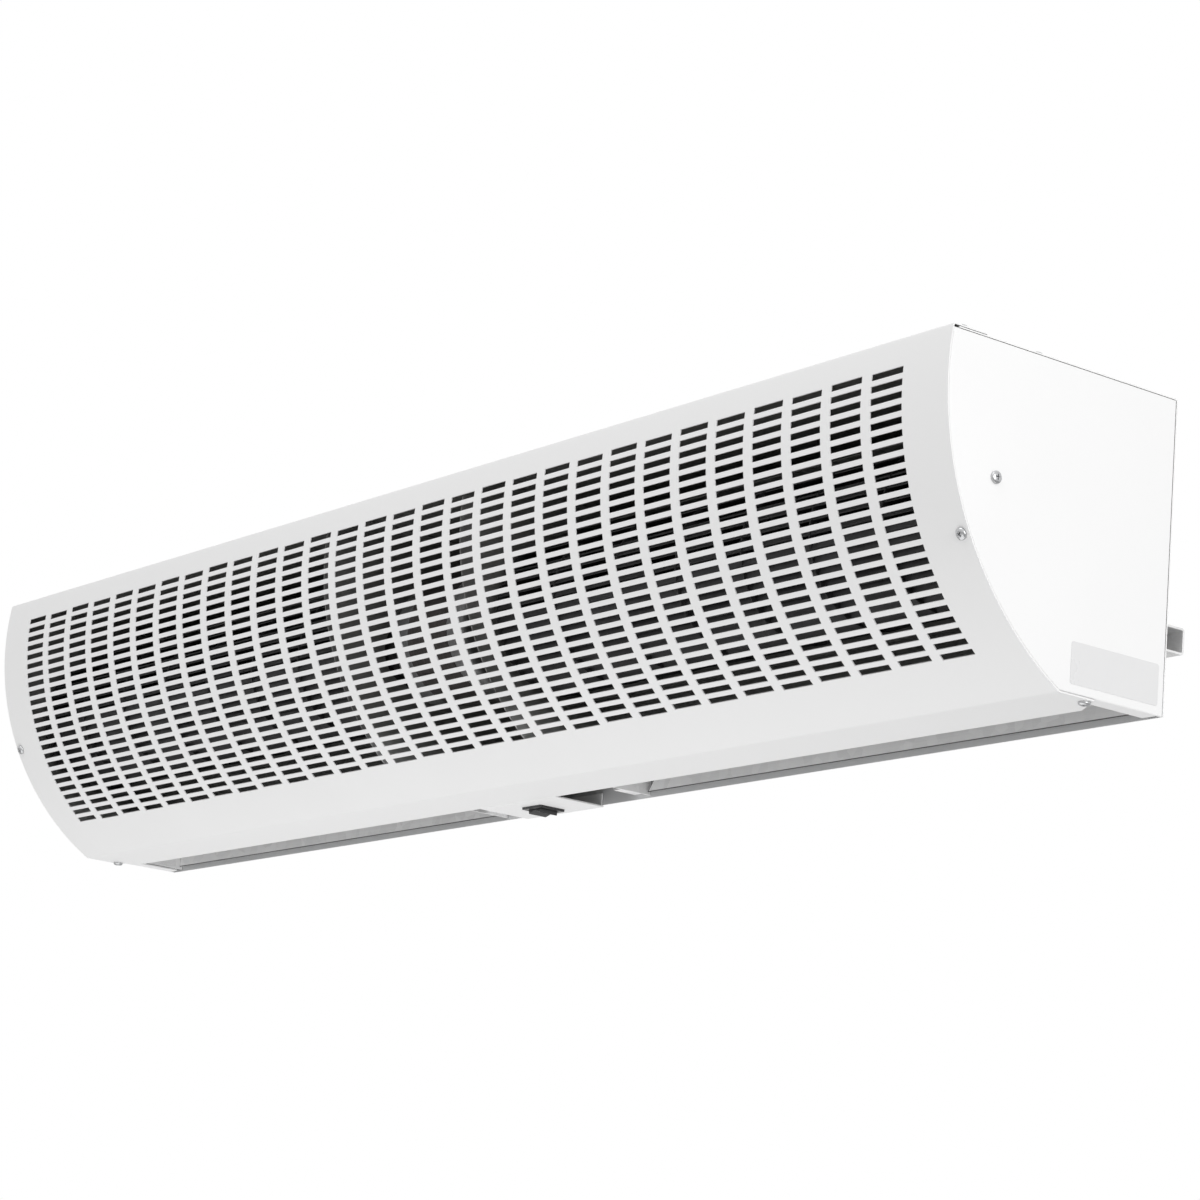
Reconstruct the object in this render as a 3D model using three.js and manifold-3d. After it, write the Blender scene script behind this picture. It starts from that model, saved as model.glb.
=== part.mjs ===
// Air curtain for hanging over a doorway: a long sheet-metal casing with a curved, slotted
// front panel, two tangential fan wheels on one motor, and an air outlet along the bottom.
// Millimetres. X runs along the unit, -Y is the front, +Z is up.
// Inside `unit` y = 0 is the rear face of the casing and z = 0 its underside. The whole is
// then moved so that the origin lies in the middle of the lower rail's face on the wall.

import * as THREE from 'three';
import { mergeVertices } from 'three/addons/utils/BufferGeometryUtils.js';
import Module from 'manifold-3d';

const wasm = await Module();
wasm.setup();

// ---- Driving dimensions ----------------------------------------------------------------

// Casing.
const LENGTH = 1200;
const HEIGHT = 204;
const TOP_DEPTH = 187; // rear face to the front edge of the top
const BOTTOM_DEPTH = 87; // rear face to where the curved front meets the underside
const FRONT_RADIUS = 203; // one arc makes the whole curved front
const PANEL_T = 1;
const CASE_T = 1;
const PLATE_T = 1.2;
const END_FLANGE = 13; // width of the flanges turned inwards round each end plate
const OUTLET_DEPTH = 44; // the open slot along the underside, front to back
const PANEL_TOP_LAP = 27; // how far the panel's top flange lies over the casing
const CASE_FRONT_GAP = 4; // front edge of the casing's top to the inside of the panel
const CORNER_CUT_X = 25; // chamfered ends of the panel's bottom flange
const CORNER_CUT_Y = 14;
const CORNER_NOTCH = 4; // square notch in the flanges where back and underside meet

// Slots of the front panel.
const SLOT_COLUMNS = 30;
const SLOT_ROWS = 12;
const SLOT_LENGTH = 29;
const SLOT_HEIGHT = 9;
const COLUMN_PITCH = 37.57;
const ROW_PITCH = 15.6; // measured along the arc
const SLOT_TOP_MARGIN = 17.5; // plain sheet above the first row, measured along the arc

// Fan wheels and what carries them.
const AXIS_Y = -100;
const AXIS_Z = 112;
const WHEEL_R = 55;
const BLADES = 18;
const BLADE_DEPTH = 13;
const BLADE_INSET = 0.5; // tips of the blades to the rim of the discs
const BLADE_T = 1.2;
const BLADE_SWEEP = 11; // degrees that a blade leans forward from root to tip
const WHEEL_DISC_T = 1.2;
const SUPPORT_RING_W = 16;
const WHEEL_INNER_X = 98;
const WHEEL_OUTER_GAP = 9; // wheel end to bearing wall
const HUB_R = 18;
const HUB_L = 14;
const SHAFT_R = 5;
const STUB_R = 4;
const STUB_FLANGE_R = 12;
const STUB_FLANGE_T = 2;
const STUB_TIP = 2; // past the bearing's bush
const BEARING_R = 11;
const BEARING_W = 7;
const BUSH_R = 18; // rubber bush round the bearing
const BUSH_W = 10;
const BUSH_GROOVE = 3;

// Air path.
const WALL_T = 1;
const WALL_GAP = 1; // bearing wall to the flanges of the end plate
const PARTITION_X = 89; // inner face of the two walls that close the motor bay
const PARTITION_HOLE_R = 26;
const WALL_FLANGE = 10; // flange along the top of each cross wall
const FOOT_W = 19; // foot of a partition, towards the middle
const FOOT_DEPTH = 20; // its front edge in front of the rear face
const FOOT_LIP = 7;
const FOOT_RISE = 5; // height of the foot and of the scroll's lower edge above the underside
const SCROLL_T = 1;
const SCROLL_STAND = 2.2; // room behind the scroll for the heads of the posts
const SCROLL_START = 100; // degrees, from straight back towards the top of the wheel
const SCROLL_GAP = 5; // sheet to wheel where the scroll starts
const TONGUE_GAP = 5;
const TONGUE_FOOT = 14;
const TONGUE_RISE = 40;
const TONGUE_ARC = [-48, -84]; // degrees, the lip that hugs the wheel from below

// Motor.
const MOTOR_R = 48;
const STATOR_L = 50;
const STATOR_BORE_R = 31;
const ROTOR_R = 30;
const ROTOR_L = 48;
const CAP_T = 3;
const CAP_DEPTH = 20; // of an end cap, without its boss
const BOSS_R = 20;
const BOSS_L = 17;
const RING_R = 27; // rubber rings on the motor's bosses
const RING_W = 14;
const BRACKET_T = 2;
const BRACKET_H = 80;
const CHEEK_X = 52;
const TAB_W = 10;
const STRAP_T = 1.6;
const STRAP_W = 7.5;

// Switch.
const SWITCH_X = -16;
const SWITCH_Y = -20;
const SWITCH_PLATE_L = 96;
const SWITCH_FLANGE = 10; // top of the flanges of its plate
const BEZEL_X = 24;
const BEZEL_Y = 22.5;
const BEZEL_T = 1.8;
const BEZEL_CORNER = 1.5;
const SWITCH_BODY_X = 21;
const SWITCH_BODY_Y = 19;
const SWITCH_BODY_H = 20;
const ROCKER_X = 15.6;
const ROCKER_Y = 15.6;
const ROCKER_DROP = 3; // how far the ends of the rocker stand below the bezel
const ROCKER_DIP = 2.1; // depth of the shallow V between its ends
const ROCKER_PIVOT_Z = 2.5;
const ROCKER_BACK = 3.5; // rear face of the rocker behind its pin
const ROCKER_BACK_W = 9;
const ROCKER_TAPER = 0.4;
const ROCKER_ROOM = 1.1; // on each side in the housing, for its swing
const PIN_R = 1.2;
const PIN_L = 1.2; // of each end that stands out of the rocker
const TERMINAL_W = 6.3;
const TERMINAL_T = 0.8;
const TERMINAL_H = 9;
const TERMINAL_BASE_T = 2;
const TERMINAL_BASE_INSET = 1;

// Motor bay fittings.
const CAPACITOR = [20, 32, 48];
const CAPACITOR_CORNER = 3;
const CAPACITOR_Z = 100;
const CLIP_T = 1;
const CLIP_W = 12;
const TERMINAL_BLOCK = [22, 14, 30];
const TERMINAL_BLOCK_Z = 110;
const TERMINAL_BLOCK_WAYS = 3;

// Fixing to the wall.
const RAIL_DEPTH = 17.5;
const RAIL_H = 17;
const RAIL_T = 1.5;
const RAIL_Z = 52;
const UPPER_RAIL_DROP = 32; // middle of the upper rail below the top
const RAIL_INSET = 3; // from the ends of the casing
const UPPER_RAIL_INSET = 60;
const POST_INSET = 130;
const WALL_HOLE_INSET = 220;
const WALL_HOLE_R = 3.3;
const POST_R = 5;
const POST_NECK_R = 2.5;
const POST_HEAD_H = 1.5;

// Small fittings.
const LABEL_W = 73;
const LABEL_H = 26;
const LABEL_T = 0.25;
const LABEL_REAR = 6; // label to the rear face
const LABEL_Z = 7;
const GROMMET_X = 140;
const GROMMET_DROP = 22; // below the middle of the upper rail
const GROMMET_R = 9;
const GROMMET_BORE_R = 4.5;
const GROMMET_LIP = 3;
const GROMMET_LIP_T = 2;
const SCREW_R = 2;
const SCREW_HEAD_R = 4;
const SCREW_HEAD_H = 2.4;
const SCREW_L = 6;
const SCREW_TIP = 2; // past the last sheet that a long screw goes through
const END_SCREW_Y = -147;
const END_SCREW_Z = 118;
const FRONT_SCREW_ANGLE = -28; // degrees below the arc's centre
const PANEL_TOP_SCREW_INSET = 12; // behind the front edge of the top
const CASING_TOP_SCREW_INSET = 73;
const BOTTOM_SCREW_Y = -60;

const SEAT = 0.3; // gap between pieces that rest on or in each other
const OVERCUT = 3; // how far a cutting shape runs past the piece that it cuts

// ---- Sizes worked out from them --------------------------------------------------------

const HALF = LENGTH / 2;
const CHORD = Math.hypot(TOP_DEPTH - BOTTOM_DEPTH, HEIGHT); // of the front's arc
const CENTRE_OFF = Math.sqrt(FRONT_RADIUS ** 2 - (CHORD / 2) ** 2); // arc's centre to its chord
const ARC_CENTRE_Y = (CENTRE_OFF * HEIGHT / CHORD) - (TOP_DEPTH + BOTTOM_DEPTH) / 2;
const ARC_CENTRE_Z = (CENTRE_OFF * (TOP_DEPTH - BOTTOM_DEPTH) / CHORD) + HEIGHT / 2;
const CASE_TOP = HEIGHT - PANEL_T - SEAT;
const CASE_BOTTOM = PANEL_T + SEAT;
const PLATE_TOP = CASE_TOP - CASE_T - SEAT;
const INSIDE_BACK = -(CASE_T + SEAT);
const FLANGE_X = HALF - END_FLANGE / 2; // middle of the end plates' flanges
const WALL_X = HALF - END_FLANGE - WALL_GAP - WALL_T; // inner face of a bearing wall
const WHEEL_OUTER_X = WALL_X - WHEEL_OUTER_GAP;
const HUB_X = WHEEL_INNER_X + WHEEL_DISC_T / 2 - HUB_L / 2;
const SHAFT_HALF = HUB_X + HUB_L - SEAT;
const BUSH_X = WALL_X + WALL_T / 2;
const CAP_X = STATOR_L / 2 + SEAT; // where an end cap starts
const MOTOR_END = CAP_X + CAP_DEPTH;
const RAIL_BACK = SEAT + RAIL_DEPTH;
const UPPER_RAIL_Z = HEIGHT - UPPER_RAIL_DROP;
const GROMMET_Z = UPPER_RAIL_Z - GROMMET_DROP;
const POST_X = HALF - POST_INSET;
const WALL_HOLE_X = HALF - WALL_HOLE_INSET;
const BAY_X = (CHEEK_X + BRACKET_T + PARTITION_X - WALL_FLANGE) / 2; // free back of the bay

const rad = (degrees) => degrees * Math.PI / 180;

// ---- Helpers ---------------------------------------------------------------------------

// Closed outline in (y, z) extruded along X from x0 to x1.
function alongX(outline, x0, x1, holes = []) {
  const basis = new THREE.Matrix4().makeBasis(
    new THREE.Vector3(0, 1, 0), new THREE.Vector3(0, 0, 1), new THREE.Vector3(1, 0, 0));
  const low = Math.min(x0, x1);
  return extruded(outline, Math.abs(x1 - x0), holes).applyMatrix4(basis).translate(low, 0, 0);
}

// Closed outline in (x, z) extruded along Y from y0 to y1.
function alongY(outline, y0, y1, holes = []) {
  const basis = new THREE.Matrix4().makeBasis(
    new THREE.Vector3(1, 0, 0), new THREE.Vector3(0, 0, 1), new THREE.Vector3(0, -1, 0));
  const high = Math.max(y0, y1);
  return extruded(outline, Math.abs(y1 - y0), holes).applyMatrix4(basis).translate(0, high, 0);
}

// Closed outline in (x, y) extruded along Z from z0 to z1.
function alongZ(outline, z0, z1, holes = []) {
  return extruded(outline, Math.abs(z1 - z0), holes).translate(0, 0, Math.min(z0, z1));
}

function extruded(outline, depth, holes) {
  const shape = new THREE.Shape(outline.map(([a, b]) => new THREE.Vector2(a, b)));
  for (const hole of holes) {
    shape.holes.push(new THREE.Path(hole.map(([a, b]) => new THREE.Vector2(a, b))));
  }
  return new THREE.ExtrudeGeometry(shape, { depth, bevelEnabled: false });
}

function box(x0, x1, y0, y1, z0, z1) {
  const size = [x1 - x0, y1 - y0, z1 - z0].map(Math.abs);
  return new THREE.BoxGeometry(...size)
    .translate((x0 + x1) / 2, (y0 + y1) / 2, (z0 + z1) / 2);
}

// Corner points of a circle, or of an arc of it, round (a, b).
function arc(a, b, radius, from, to, steps) {
  const points = [];
  for (let i = 0; i <= steps; i += 1) {
    const angle = rad(from + (to - from) * i / steps);
    points.push([a + radius * Math.cos(angle), b + radius * Math.sin(angle)]);
  }
  return points;
}

const circle = (a, b, radius, sides) => arc(a, b, radius, 0, 360, sides).slice(0, -1);

function rectangle(a, b, width, height, corner = 0) {
  const w = width / 2 - corner;
  const h = height / 2 - corner;
  if (!corner) return [[a - w, b - h], [a + w, b - h], [a + w, b + h], [a - w, b + h]];
  return [
    ...arc(a + w, b + h, corner, 0, 90, 2), ...arc(a - w, b + h, corner, 90, 180, 2),
    ...arc(a - w, b - h, corner, 180, 270, 2), ...arc(a + w, b - h, corner, 270, 360, 2),
  ];
}

// Profile of [distance along the axis, radius] turned round the fan's axis.
function turned(profile, sides) {
  const points = profile.map(([along, radius]) => new THREE.Vector2(radius, along));
  return tidy(new THREE.LatheGeometry(points, sides).rotateZ(-Math.PI / 2));
}

function onAxis(geometry) {
  return geometry.translate(0, AXIS_Y, AXIS_Z);
}

// Profile of [distance along the axis, radius], turned and stood at `at`, facing `out`.
function turnedAt(profile, sides, at, out) {
  const turn = new THREE.Quaternion().setFromUnitVectors(
    new THREE.Vector3(1, 0, 0), new THREE.Vector3(...out).normalize());
  return turned(profile, sides).applyQuaternion(turn).translate(...at);
}

// Merges shared corners, drops triangles of no area and turns the faces outwards.
function tidy(geometry) {
  const plain = geometry.clone();
  plain.deleteAttribute('normal');
  plain.deleteAttribute('uv');
  const merged = mergeVertices(plain, 1e-4);
  const index = merged.index.array;
  const kept = [];
  for (let i = 0; i < index.length; i += 3) {
    const [a, b, c] = [index[i], index[i + 1], index[i + 2]];
    if (a !== b && b !== c && c !== a) kept.push(a, b, c);
  }
  merged.setIndex(kept);
  if (volume(merged) < 0) {
    for (let i = 0; i < kept.length; i += 3) [kept[i], kept[i + 1]] = [kept[i + 1], kept[i]];
    merged.setIndex(kept);
  }
  return merged;
}

function volume(geometry) {
  const position = geometry.attributes.position;
  const index = geometry.index.array;
  const corner = [0, 1, 2].map(() => new THREE.Vector3());
  let sum = 0;
  for (let i = 0; i < index.length; i += 3) {
    corner.forEach((point, k) => point.fromBufferAttribute(position, index[i + k]));
    sum += corner[0].dot(corner[1].cross(corner[2])) / 6;
  }
  return sum;
}

function solid(geometry) {
  const merged = tidy(geometry);
  return new wasm.Manifold(new wasm.Mesh({
    numProp: 3,
    vertProperties: new Float32Array(merged.attributes.position.array),
    triVerts: new Uint32Array(merged.index.array),
  }));
}

function surface(manifold) {
  const mesh = manifold.getMesh();
  const geometry = new THREE.BufferGeometry();
  geometry.setAttribute('position', new THREE.BufferAttribute(mesh.vertProperties, 3));
  geometry.setIndex(new THREE.BufferAttribute(mesh.triVerts, 1));
  return geometry;
}

const joined = (pieces) => surface(pieces.map(solid).reduce((a, b) => a.add(b)));

const cut = (geometry, tools) => (
  surface(tools.map(solid).reduce((body, tool) => body.subtract(tool), solid(geometry))));

// Both ends of a distance range on one side of the middle: side is -1 or 1.
const span = (side, near, far) => [side * near, side * far];

// ---- Screws ----------------------------------------------------------------------------

function screw({ at, out, length = SCREW_L }, sides = 8) {
  const crown = [SCREW_HEAD_H * 0.9, SCREW_HEAD_R * 0.6];
  const rim = [SCREW_HEAD_H * 0.35, SCREW_HEAD_R];
  return turnedAt([
    [SCREW_HEAD_H, 0], crown, rim, [0, SCREW_HEAD_R], [0, SCREW_R], [-length, SCREW_R], [-length, 0],
  ], sides, at, out);
}

// Round cutting shape of a radius, from `before` above the point `at` to `behind` below it.
const drill = (radius, before, behind, sides, at, out) => turnedAt(
  [[before, 0], [before, radius], [-behind, radius], [-behind, 0]], sides, at, out);

const screwHole = ({ at, out, length = SCREW_L }, sides = 8) => (
  drill(SCREW_R + SEAT, OVERCUT, length + OVERCUT, sides, at, out));

function frontScrews() {
  const angle = rad(FRONT_SCREW_ANGLE);
  const out = [0, -Math.cos(angle), Math.sin(angle)];
  const y = ARC_CENTRE_Y + FRONT_RADIUS * out[1];
  const z = ARC_CENTRE_Z + FRONT_RADIUS * out[2];
  return [-1, 1].map((side) => ({ at: [side * FLANGE_X, y, z], out }));
}

function bottomScrews() {
  return [-1, 1].map((side) => (
    { at: [side * FLANGE_X, BOTTOM_SCREW_Y, 0], out: [0, 0, -1] }));
}

function topFrontScrews() {
  return [-1, 1].map((side) => (
    { at: [side * FLANGE_X, PANEL_TOP_SCREW_INSET - TOP_DEPTH, HEIGHT], out: [0, 0, 1] }));
}

function topRearScrews() {
  return [-1, 1].map((side) => (
    { at: [side * FLANGE_X, CASING_TOP_SCREW_INSET - TOP_DEPTH, CASE_TOP], out: [0, 0, 1] }));
}

function endScrews() {
  const length = HALF - WALL_X + SCREW_TIP;
  return [-1, 1].map((side) => (
    { at: [side * HALF, END_SCREW_Y, END_SCREW_Z], out: [side, 0, 0], length }));
}

function strapScrews() {
  const x = CHEEK_X + BRACKET_T + SEAT + STRAP_W / 2;
  const z = AXIS_Z + (RING_R + SEAT + STRAP_T + BRACKET_H / 2) / 2;
  const length = STRAP_T + SEAT + BRACKET_T + SCREW_TIP;
  return [-1, 1].map((side) => (
    { at: [side * x, AXIS_Y - SEAT - STRAP_T, z], out: [0, -1, 0], length }));
}

const onSide = (places, side) => places.filter(({ at }) => at[0] * side > 0);

// ---- Casing ----------------------------------------------------------------------------

// Angles, in degrees above the arc's centre, where the curved front changes facet. The
// slotted band has one facet for each row of slots.
function facetAngles() {
  const top = Math.asin((HEIGHT - ARC_CENTRE_Z) / FRONT_RADIUS) * 180 / Math.PI;
  const bottom = Math.asin(-ARC_CENTRE_Z / FRONT_RADIUS) * 180 / Math.PI;
  const first = top - SLOT_TOP_MARGIN / rad(FRONT_RADIUS);
  const step = ROW_PITCH / rad(FRONT_RADIUS);
  const last = first - SLOT_ROWS * step;
  const angles = [(top + first) / 2];
  for (let row = 0; row <= SLOT_ROWS; row += 1) angles.push(first - row * step);
  angles.push((last + bottom) / 2);
  return angles;
}

// Points down the curved front, `inset` inside it, between two heights.
function frontArc(inset, zTop, zBottom) {
  const radius = FRONT_RADIUS - inset;
  const at = (angle) => (
    [ARC_CENTRE_Y - radius * Math.cos(angle), ARC_CENTRE_Z + radius * Math.sin(angle)]);
  const top = Math.asin((zTop - ARC_CENTRE_Z) / radius);
  const bottom = Math.asin((zBottom - ARC_CENTRE_Z) / radius);
  const apart = 0.004; // radians, so that no facet is too narrow
  const between = facetAngles().map(rad).filter((a) => a < top - apart && a > bottom + apart);
  return [top, ...between, bottom].map(at);
}

// Cross-section of the inside: curved front, flat top, back and underside.
const section = (inset, top, bottom, back) => (
  [...frontArc(inset, top, bottom), [back, bottom], [back, top]]);

function slotCutters() {
  const angles = facetAngles();
  const cutters = [];
  for (let row = 0; row < SLOT_ROWS; row += 1) {
    const angle = rad((angles[row + 1] + angles[row + 2]) / 2);
    const y = ARC_CENTRE_Y - (FRONT_RADIUS - PANEL_T / 2) * Math.cos(angle);
    const z = ARC_CENTRE_Z + (FRONT_RADIUS - PANEL_T / 2) * Math.sin(angle);
    for (let column = 0; column < SLOT_COLUMNS; column += 1) {
      const x = (column - (SLOT_COLUMNS - 1) / 2) * COLUMN_PITCH;
      cutters.push(new THREE.BoxGeometry(SLOT_LENGTH, PANEL_T + OVERCUT, SLOT_HEIGHT)
        .rotateX(Math.PI - angle).translate(x, y, z));
    }
  }
  return cutters;
}

function frontPanel() {
  const topFlangeEnd = frontArc(0, HEIGHT, 0)[0][0] + PANEL_TOP_LAP;
  const outline = [
    [topFlangeEnd, HEIGHT], ...frontArc(0, HEIGHT, 0), [-OUTLET_DEPTH, 0], [-OUTLET_DEPTH, PANEL_T],
    ...frontArc(PANEL_T, HEIGHT - PANEL_T, PANEL_T).reverse(), [topFlangeEnd, HEIGHT - PANEL_T],
  ];
  const corners = [-1, 1].map((side) => alongZ([
    [side * (HALF + OVERCUT), -OUTLET_DEPTH + OVERCUT],
    [side * (HALF - CORNER_CUT_X), -OUTLET_DEPTH + OVERCUT],
    [side * (HALF - CORNER_CUT_X), -OUTLET_DEPTH], [side * HALF, -OUTLET_DEPTH - CORNER_CUT_Y],
    [side * (HALF + OVERCUT), -OUTLET_DEPTH - CORNER_CUT_Y],
  ], -OVERCUT, PANEL_T + OVERCUT));
  const screws = [...frontScrews(), ...bottomScrews(), ...topFrontScrews()];
  return cut(alongX(outline, -HALF, HALF),
    [...slotCutters(), ...corners, ...screws.map((place) => screwHole(place))]);
}

function rearCasing() {
  const front = frontArc(PANEL_T, CASE_TOP, 0)[0][0] + CASE_FRONT_GAP;
  const outline = [
    [front, CASE_TOP], [front, CASE_TOP - CASE_T], [-CASE_T, CASE_TOP - CASE_T],
    [-CASE_T, CASE_BOTTOM], [0, CASE_BOTTOM], [0, CASE_TOP],
  ];
  const screws = [...topFrontScrews(), ...topRearScrews()];
  const backHole = (x, z, radius, sides) => (
    drill(radius, OVERCUT, CASE_T + OVERCUT, sides, [x, 0, z], [0, 1, 0]));
  const postHoles = postPlaces().map(([x, z]) => backHole(x, z, POST_NECK_R + SEAT, 8));
  const grommetHole = backHole(GROMMET_X, GROMMET_Z, GROMMET_R, 12);
  return cut(alongX(outline, -HALF, HALF),
    [...screws.map((place) => screwHole(place)), ...postHoles, grommetHole]);
}

function endPlate(side) {
  const outer = section(PANEL_T + SEAT, PLATE_TOP, CASE_BOTTOM, INSIDE_BACK);
  const inner = section(PANEL_T + SEAT + PLATE_T, PLATE_TOP - PLATE_T,
    CASE_BOTTOM + PLATE_T, INSIDE_BACK - PLATE_T);
  const plate = alongX(outer, ...span(side, HALF - PLATE_T, HALF));
  const rim = alongX(outer, ...span(side, HALF - END_FLANGE, HALF - PLATE_T / 2), [inner]);
  const [x0, x1] = span(side, HALF - END_FLANGE - OVERCUT, HALF - PLATE_T);
  const notch = box(x0, x1, INSIDE_BACK - CORNER_NOTCH, INSIDE_BACK + OVERCUT,
    CASE_BOTTOM - OVERCUT, CASE_BOTTOM + CORNER_NOTCH);
  const screws = onSide([...frontScrews(), ...bottomScrews(), ...topFrontScrews(),
    ...topRearScrews(), ...endScrews()], side);
  return cut(joined([plate, rim]), [notch, ...screws.map((place) => screwHole(place))]);
}

function ratingLabel() {
  const rear = -LABEL_REAR;
  return box(HALF, HALF + LABEL_T, rear - LABEL_W, rear, LABEL_Z, LABEL_Z + LABEL_H);
}

function cableGrommet() {
  const lip = GROMMET_R + GROMMET_LIP;
  const neck = GROMMET_R - SEAT;
  const face = SEAT + GROMMET_LIP_T;
  const back = -CASE_T - SEAT - GROMMET_LIP_T;
  return turnedAt([
    [face, GROMMET_BORE_R], [face, lip], [SEAT, lip], [SEAT, neck], [-CASE_T - SEAT, neck],
    [-CASE_T - SEAT, lip], [back, lip], [back, GROMMET_BORE_R], [face, GROMMET_BORE_R],
  ], 12, [GROMMET_X, 0, GROMMET_Z], [0, 1, 0]);
}

// ---- Air path --------------------------------------------------------------------------

// Wall across the inside that closes a wheel's chamber; `hole` is the radius of its opening.
function crossWall(side, x, hole) {
  const low = CASE_BOTTOM + PLATE_T + SEAT;
  const outline = section(PANEL_T + PLATE_T + 2 * SEAT, PLATE_TOP, low, INSIDE_BACK);
  const wall = alongX(outline, ...span(side, x, x + WALL_T), [circle(AXIS_Y, AXIS_Z, hole, 16)]);
  const [x0, x1] = span(side, x - WALL_FLANGE, x + WALL_T / 2);
  const top = box(x0, x1, AXIS_Y - WHEEL_R, INSIDE_BACK, PLATE_TOP - WALL_T, PLATE_TOP);
  return { wall, top, x0, x1 };
}

function partition(side) {
  const { wall, top, x0, x1 } = crossWall(side, PARTITION_X, PARTITION_HOLE_R);
  const rear = box(x0, x1, INSIDE_BACK - WALL_T, INSIDE_BACK, FOOT_RISE, PLATE_TOP);
  const footEnd = PARTITION_X - FOOT_W;
  const foot = box(...span(side, footEnd, PARTITION_X + WALL_T / 2), -FOOT_DEPTH, INSIDE_BACK,
    FOOT_RISE, FOOT_RISE + WALL_T);
  const lip = box(...span(side, footEnd, footEnd + WALL_T), -FOOT_DEPTH, INSIDE_BACK,
    FOOT_RISE, FOOT_RISE + FOOT_LIP);
  return joined([wall, top, rear, foot, lip]);
}

function bearingWall(side) {
  const { wall, top } = crossWall(side, WALL_X, BUSH_R - BUSH_GROOVE + SEAT);
  const screws = onSide(endScrews(), side);
  return cut(joined([wall, top]), screws.map((place) => screwHole(place)));
}

// Strip of even thickness on the left-hand side of a path of [y, z] points.
function strip(path, thickness) {
  const normal = (p, q) => {
    const length = Math.hypot(q[0] - p[0], q[1] - p[1]);
    return [-(q[1] - p[1]) / length, (q[0] - p[0]) / length];
  };
  const offset = path.map((point, i) => {
    const before = normal(path[Math.max(i - 1, 0)], path[Math.max(i, 1)]);
    const after = normal(path[Math.min(i, path.length - 2)], path[Math.min(i + 1, path.length - 1)]);
    const sum = [before[0] + after[0], before[1] + after[1]];
    const scale = thickness * 2 / (sum[0] ** 2 + sum[1] ** 2);
    return [point[0] + sum[0] * scale, point[1] + sum[1] * scale];
  });
  return [...path, ...offset.reverse()];
}

const chamber = (side) => span(side, PARTITION_X + WALL_T + SEAT, WALL_X - SEAT);

// Rear guide: a spiral that opens out from the top of the wheel, then runs down the back.
function scrollSheet(side) {
  const steps = 8;
  const back = -CASE_T - SCROLL_STAND - SCROLL_T;
  const backReach = back - AXIS_Y - WHEEL_R;
  const path = [];
  for (let i = 0; i <= steps; i += 1) {
    const share = i / steps;
    const angle = rad(SCROLL_START * (1 - share));
    const radius = WHEEL_R + SCROLL_GAP + (backReach - SCROLL_GAP) * share;
    path.push([AXIS_Y + radius * Math.cos(angle), AXIS_Z + radius * Math.sin(angle)]);
  }
  path.push([back, FOOT_RISE]);
  return alongX(strip(path, SCROLL_T), ...chamber(side));
}

// Front guide: a foot on the panel's bottom flange, a rise, and a lip under the wheel.
function tongue(side) {
  const rise = -OUTLET_DEPTH - SEAT - SCROLL_T;
  const near = WHEEL_R + TONGUE_GAP + SCROLL_T;
  const lip = arc(AXIS_Y, AXIS_Z, near, ...TONGUE_ARC, 3);
  const path = [
    [rise - TONGUE_FOOT, CASE_BOTTOM], [rise, CASE_BOTTOM], [rise, CASE_BOTTOM + TONGUE_RISE], ...lip,
  ];
  return alongX(strip(path, SCROLL_T), ...chamber(side));
}

// ---- Wheels and bearings ---------------------------------------------------------------

function bladeOutline(turn) {
  const at = (radius, degrees) => {
    const angle = rad(degrees + turn);
    return [AXIS_Y + radius * Math.cos(angle), AXIS_Z + radius * Math.sin(angle)];
  };
  const tip = WHEEL_R - BLADE_INSET;
  const root = tip - BLADE_DEPTH;
  const middleSweep = BLADE_SWEEP * 0.7;
  const path = [at(root, 0), at((root + tip) / 2, middleSweep), at(tip, BLADE_SWEEP)];
  return strip(path, BLADE_T);
}

const ring = (outer, inner, x0, x1, sides) => alongX(
  circle(AXIS_Y, AXIS_Z, outer, sides), x0, x1, [circle(AXIS_Y, AXIS_Z, inner, sides)]);

function impeller(side) {
  const sides = 24;
  const last = WHEEL_OUTER_X - WHEEL_DISC_T;
  const middle = (WHEEL_INNER_X + WHEEL_OUTER_X - WHEEL_DISC_T) / 2;
  const inner = WHEEL_R - SUPPORT_RING_W;
  const pieces = [
    ring(WHEEL_R, HUB_R + SEAT, ...span(side, WHEEL_INNER_X, WHEEL_INNER_X + WHEEL_DISC_T), sides),
    ring(WHEEL_R, inner, ...span(side, middle, middle + WHEEL_DISC_T), sides),
    ring(WHEEL_R, STUB_R + SEAT, ...span(side, last, WHEEL_OUTER_X), sides),
  ];
  const inset = WHEEL_DISC_T / 2;
  for (let i = 0; i < BLADES; i += 1) {
    pieces.push(alongX(bladeOutline(i * 360 / BLADES),
      ...span(side, WHEEL_INNER_X + inset, WHEEL_OUTER_X - inset)));
  }
  return joined(pieces);
}

function hub(side) {
  return ring(HUB_R, SHAFT_R + SEAT, ...span(side, HUB_X, HUB_X + HUB_L), 16);
}

// Stub riveted to the wheel's outer disc, running in the end bearing.
function stubShaft(side) {
  const start = WHEEL_OUTER_X + SEAT;
  const end = BUSH_X + BUSH_W / 2 + STUB_TIP;
  const profile = [
    [WHEEL_OUTER_X - WHEEL_DISC_T, 0], [WHEEL_OUTER_X - WHEEL_DISC_T, STUB_R], [start, STUB_R],
    [start, STUB_FLANGE_R], [start + STUB_FLANGE_T, STUB_FLANGE_R], [start + STUB_FLANGE_T, STUB_R],
    [end, STUB_R], [end, 0],
  ].map(([x, radius]) => [side * x, radius]);
  return onAxis(turned(profile, 12));
}

function bearing(side) {
  return ring(BEARING_R, STUB_R + SEAT,
    ...span(side, BUSH_X - BEARING_W / 2, BUSH_X + BEARING_W / 2), 14);
}

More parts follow.
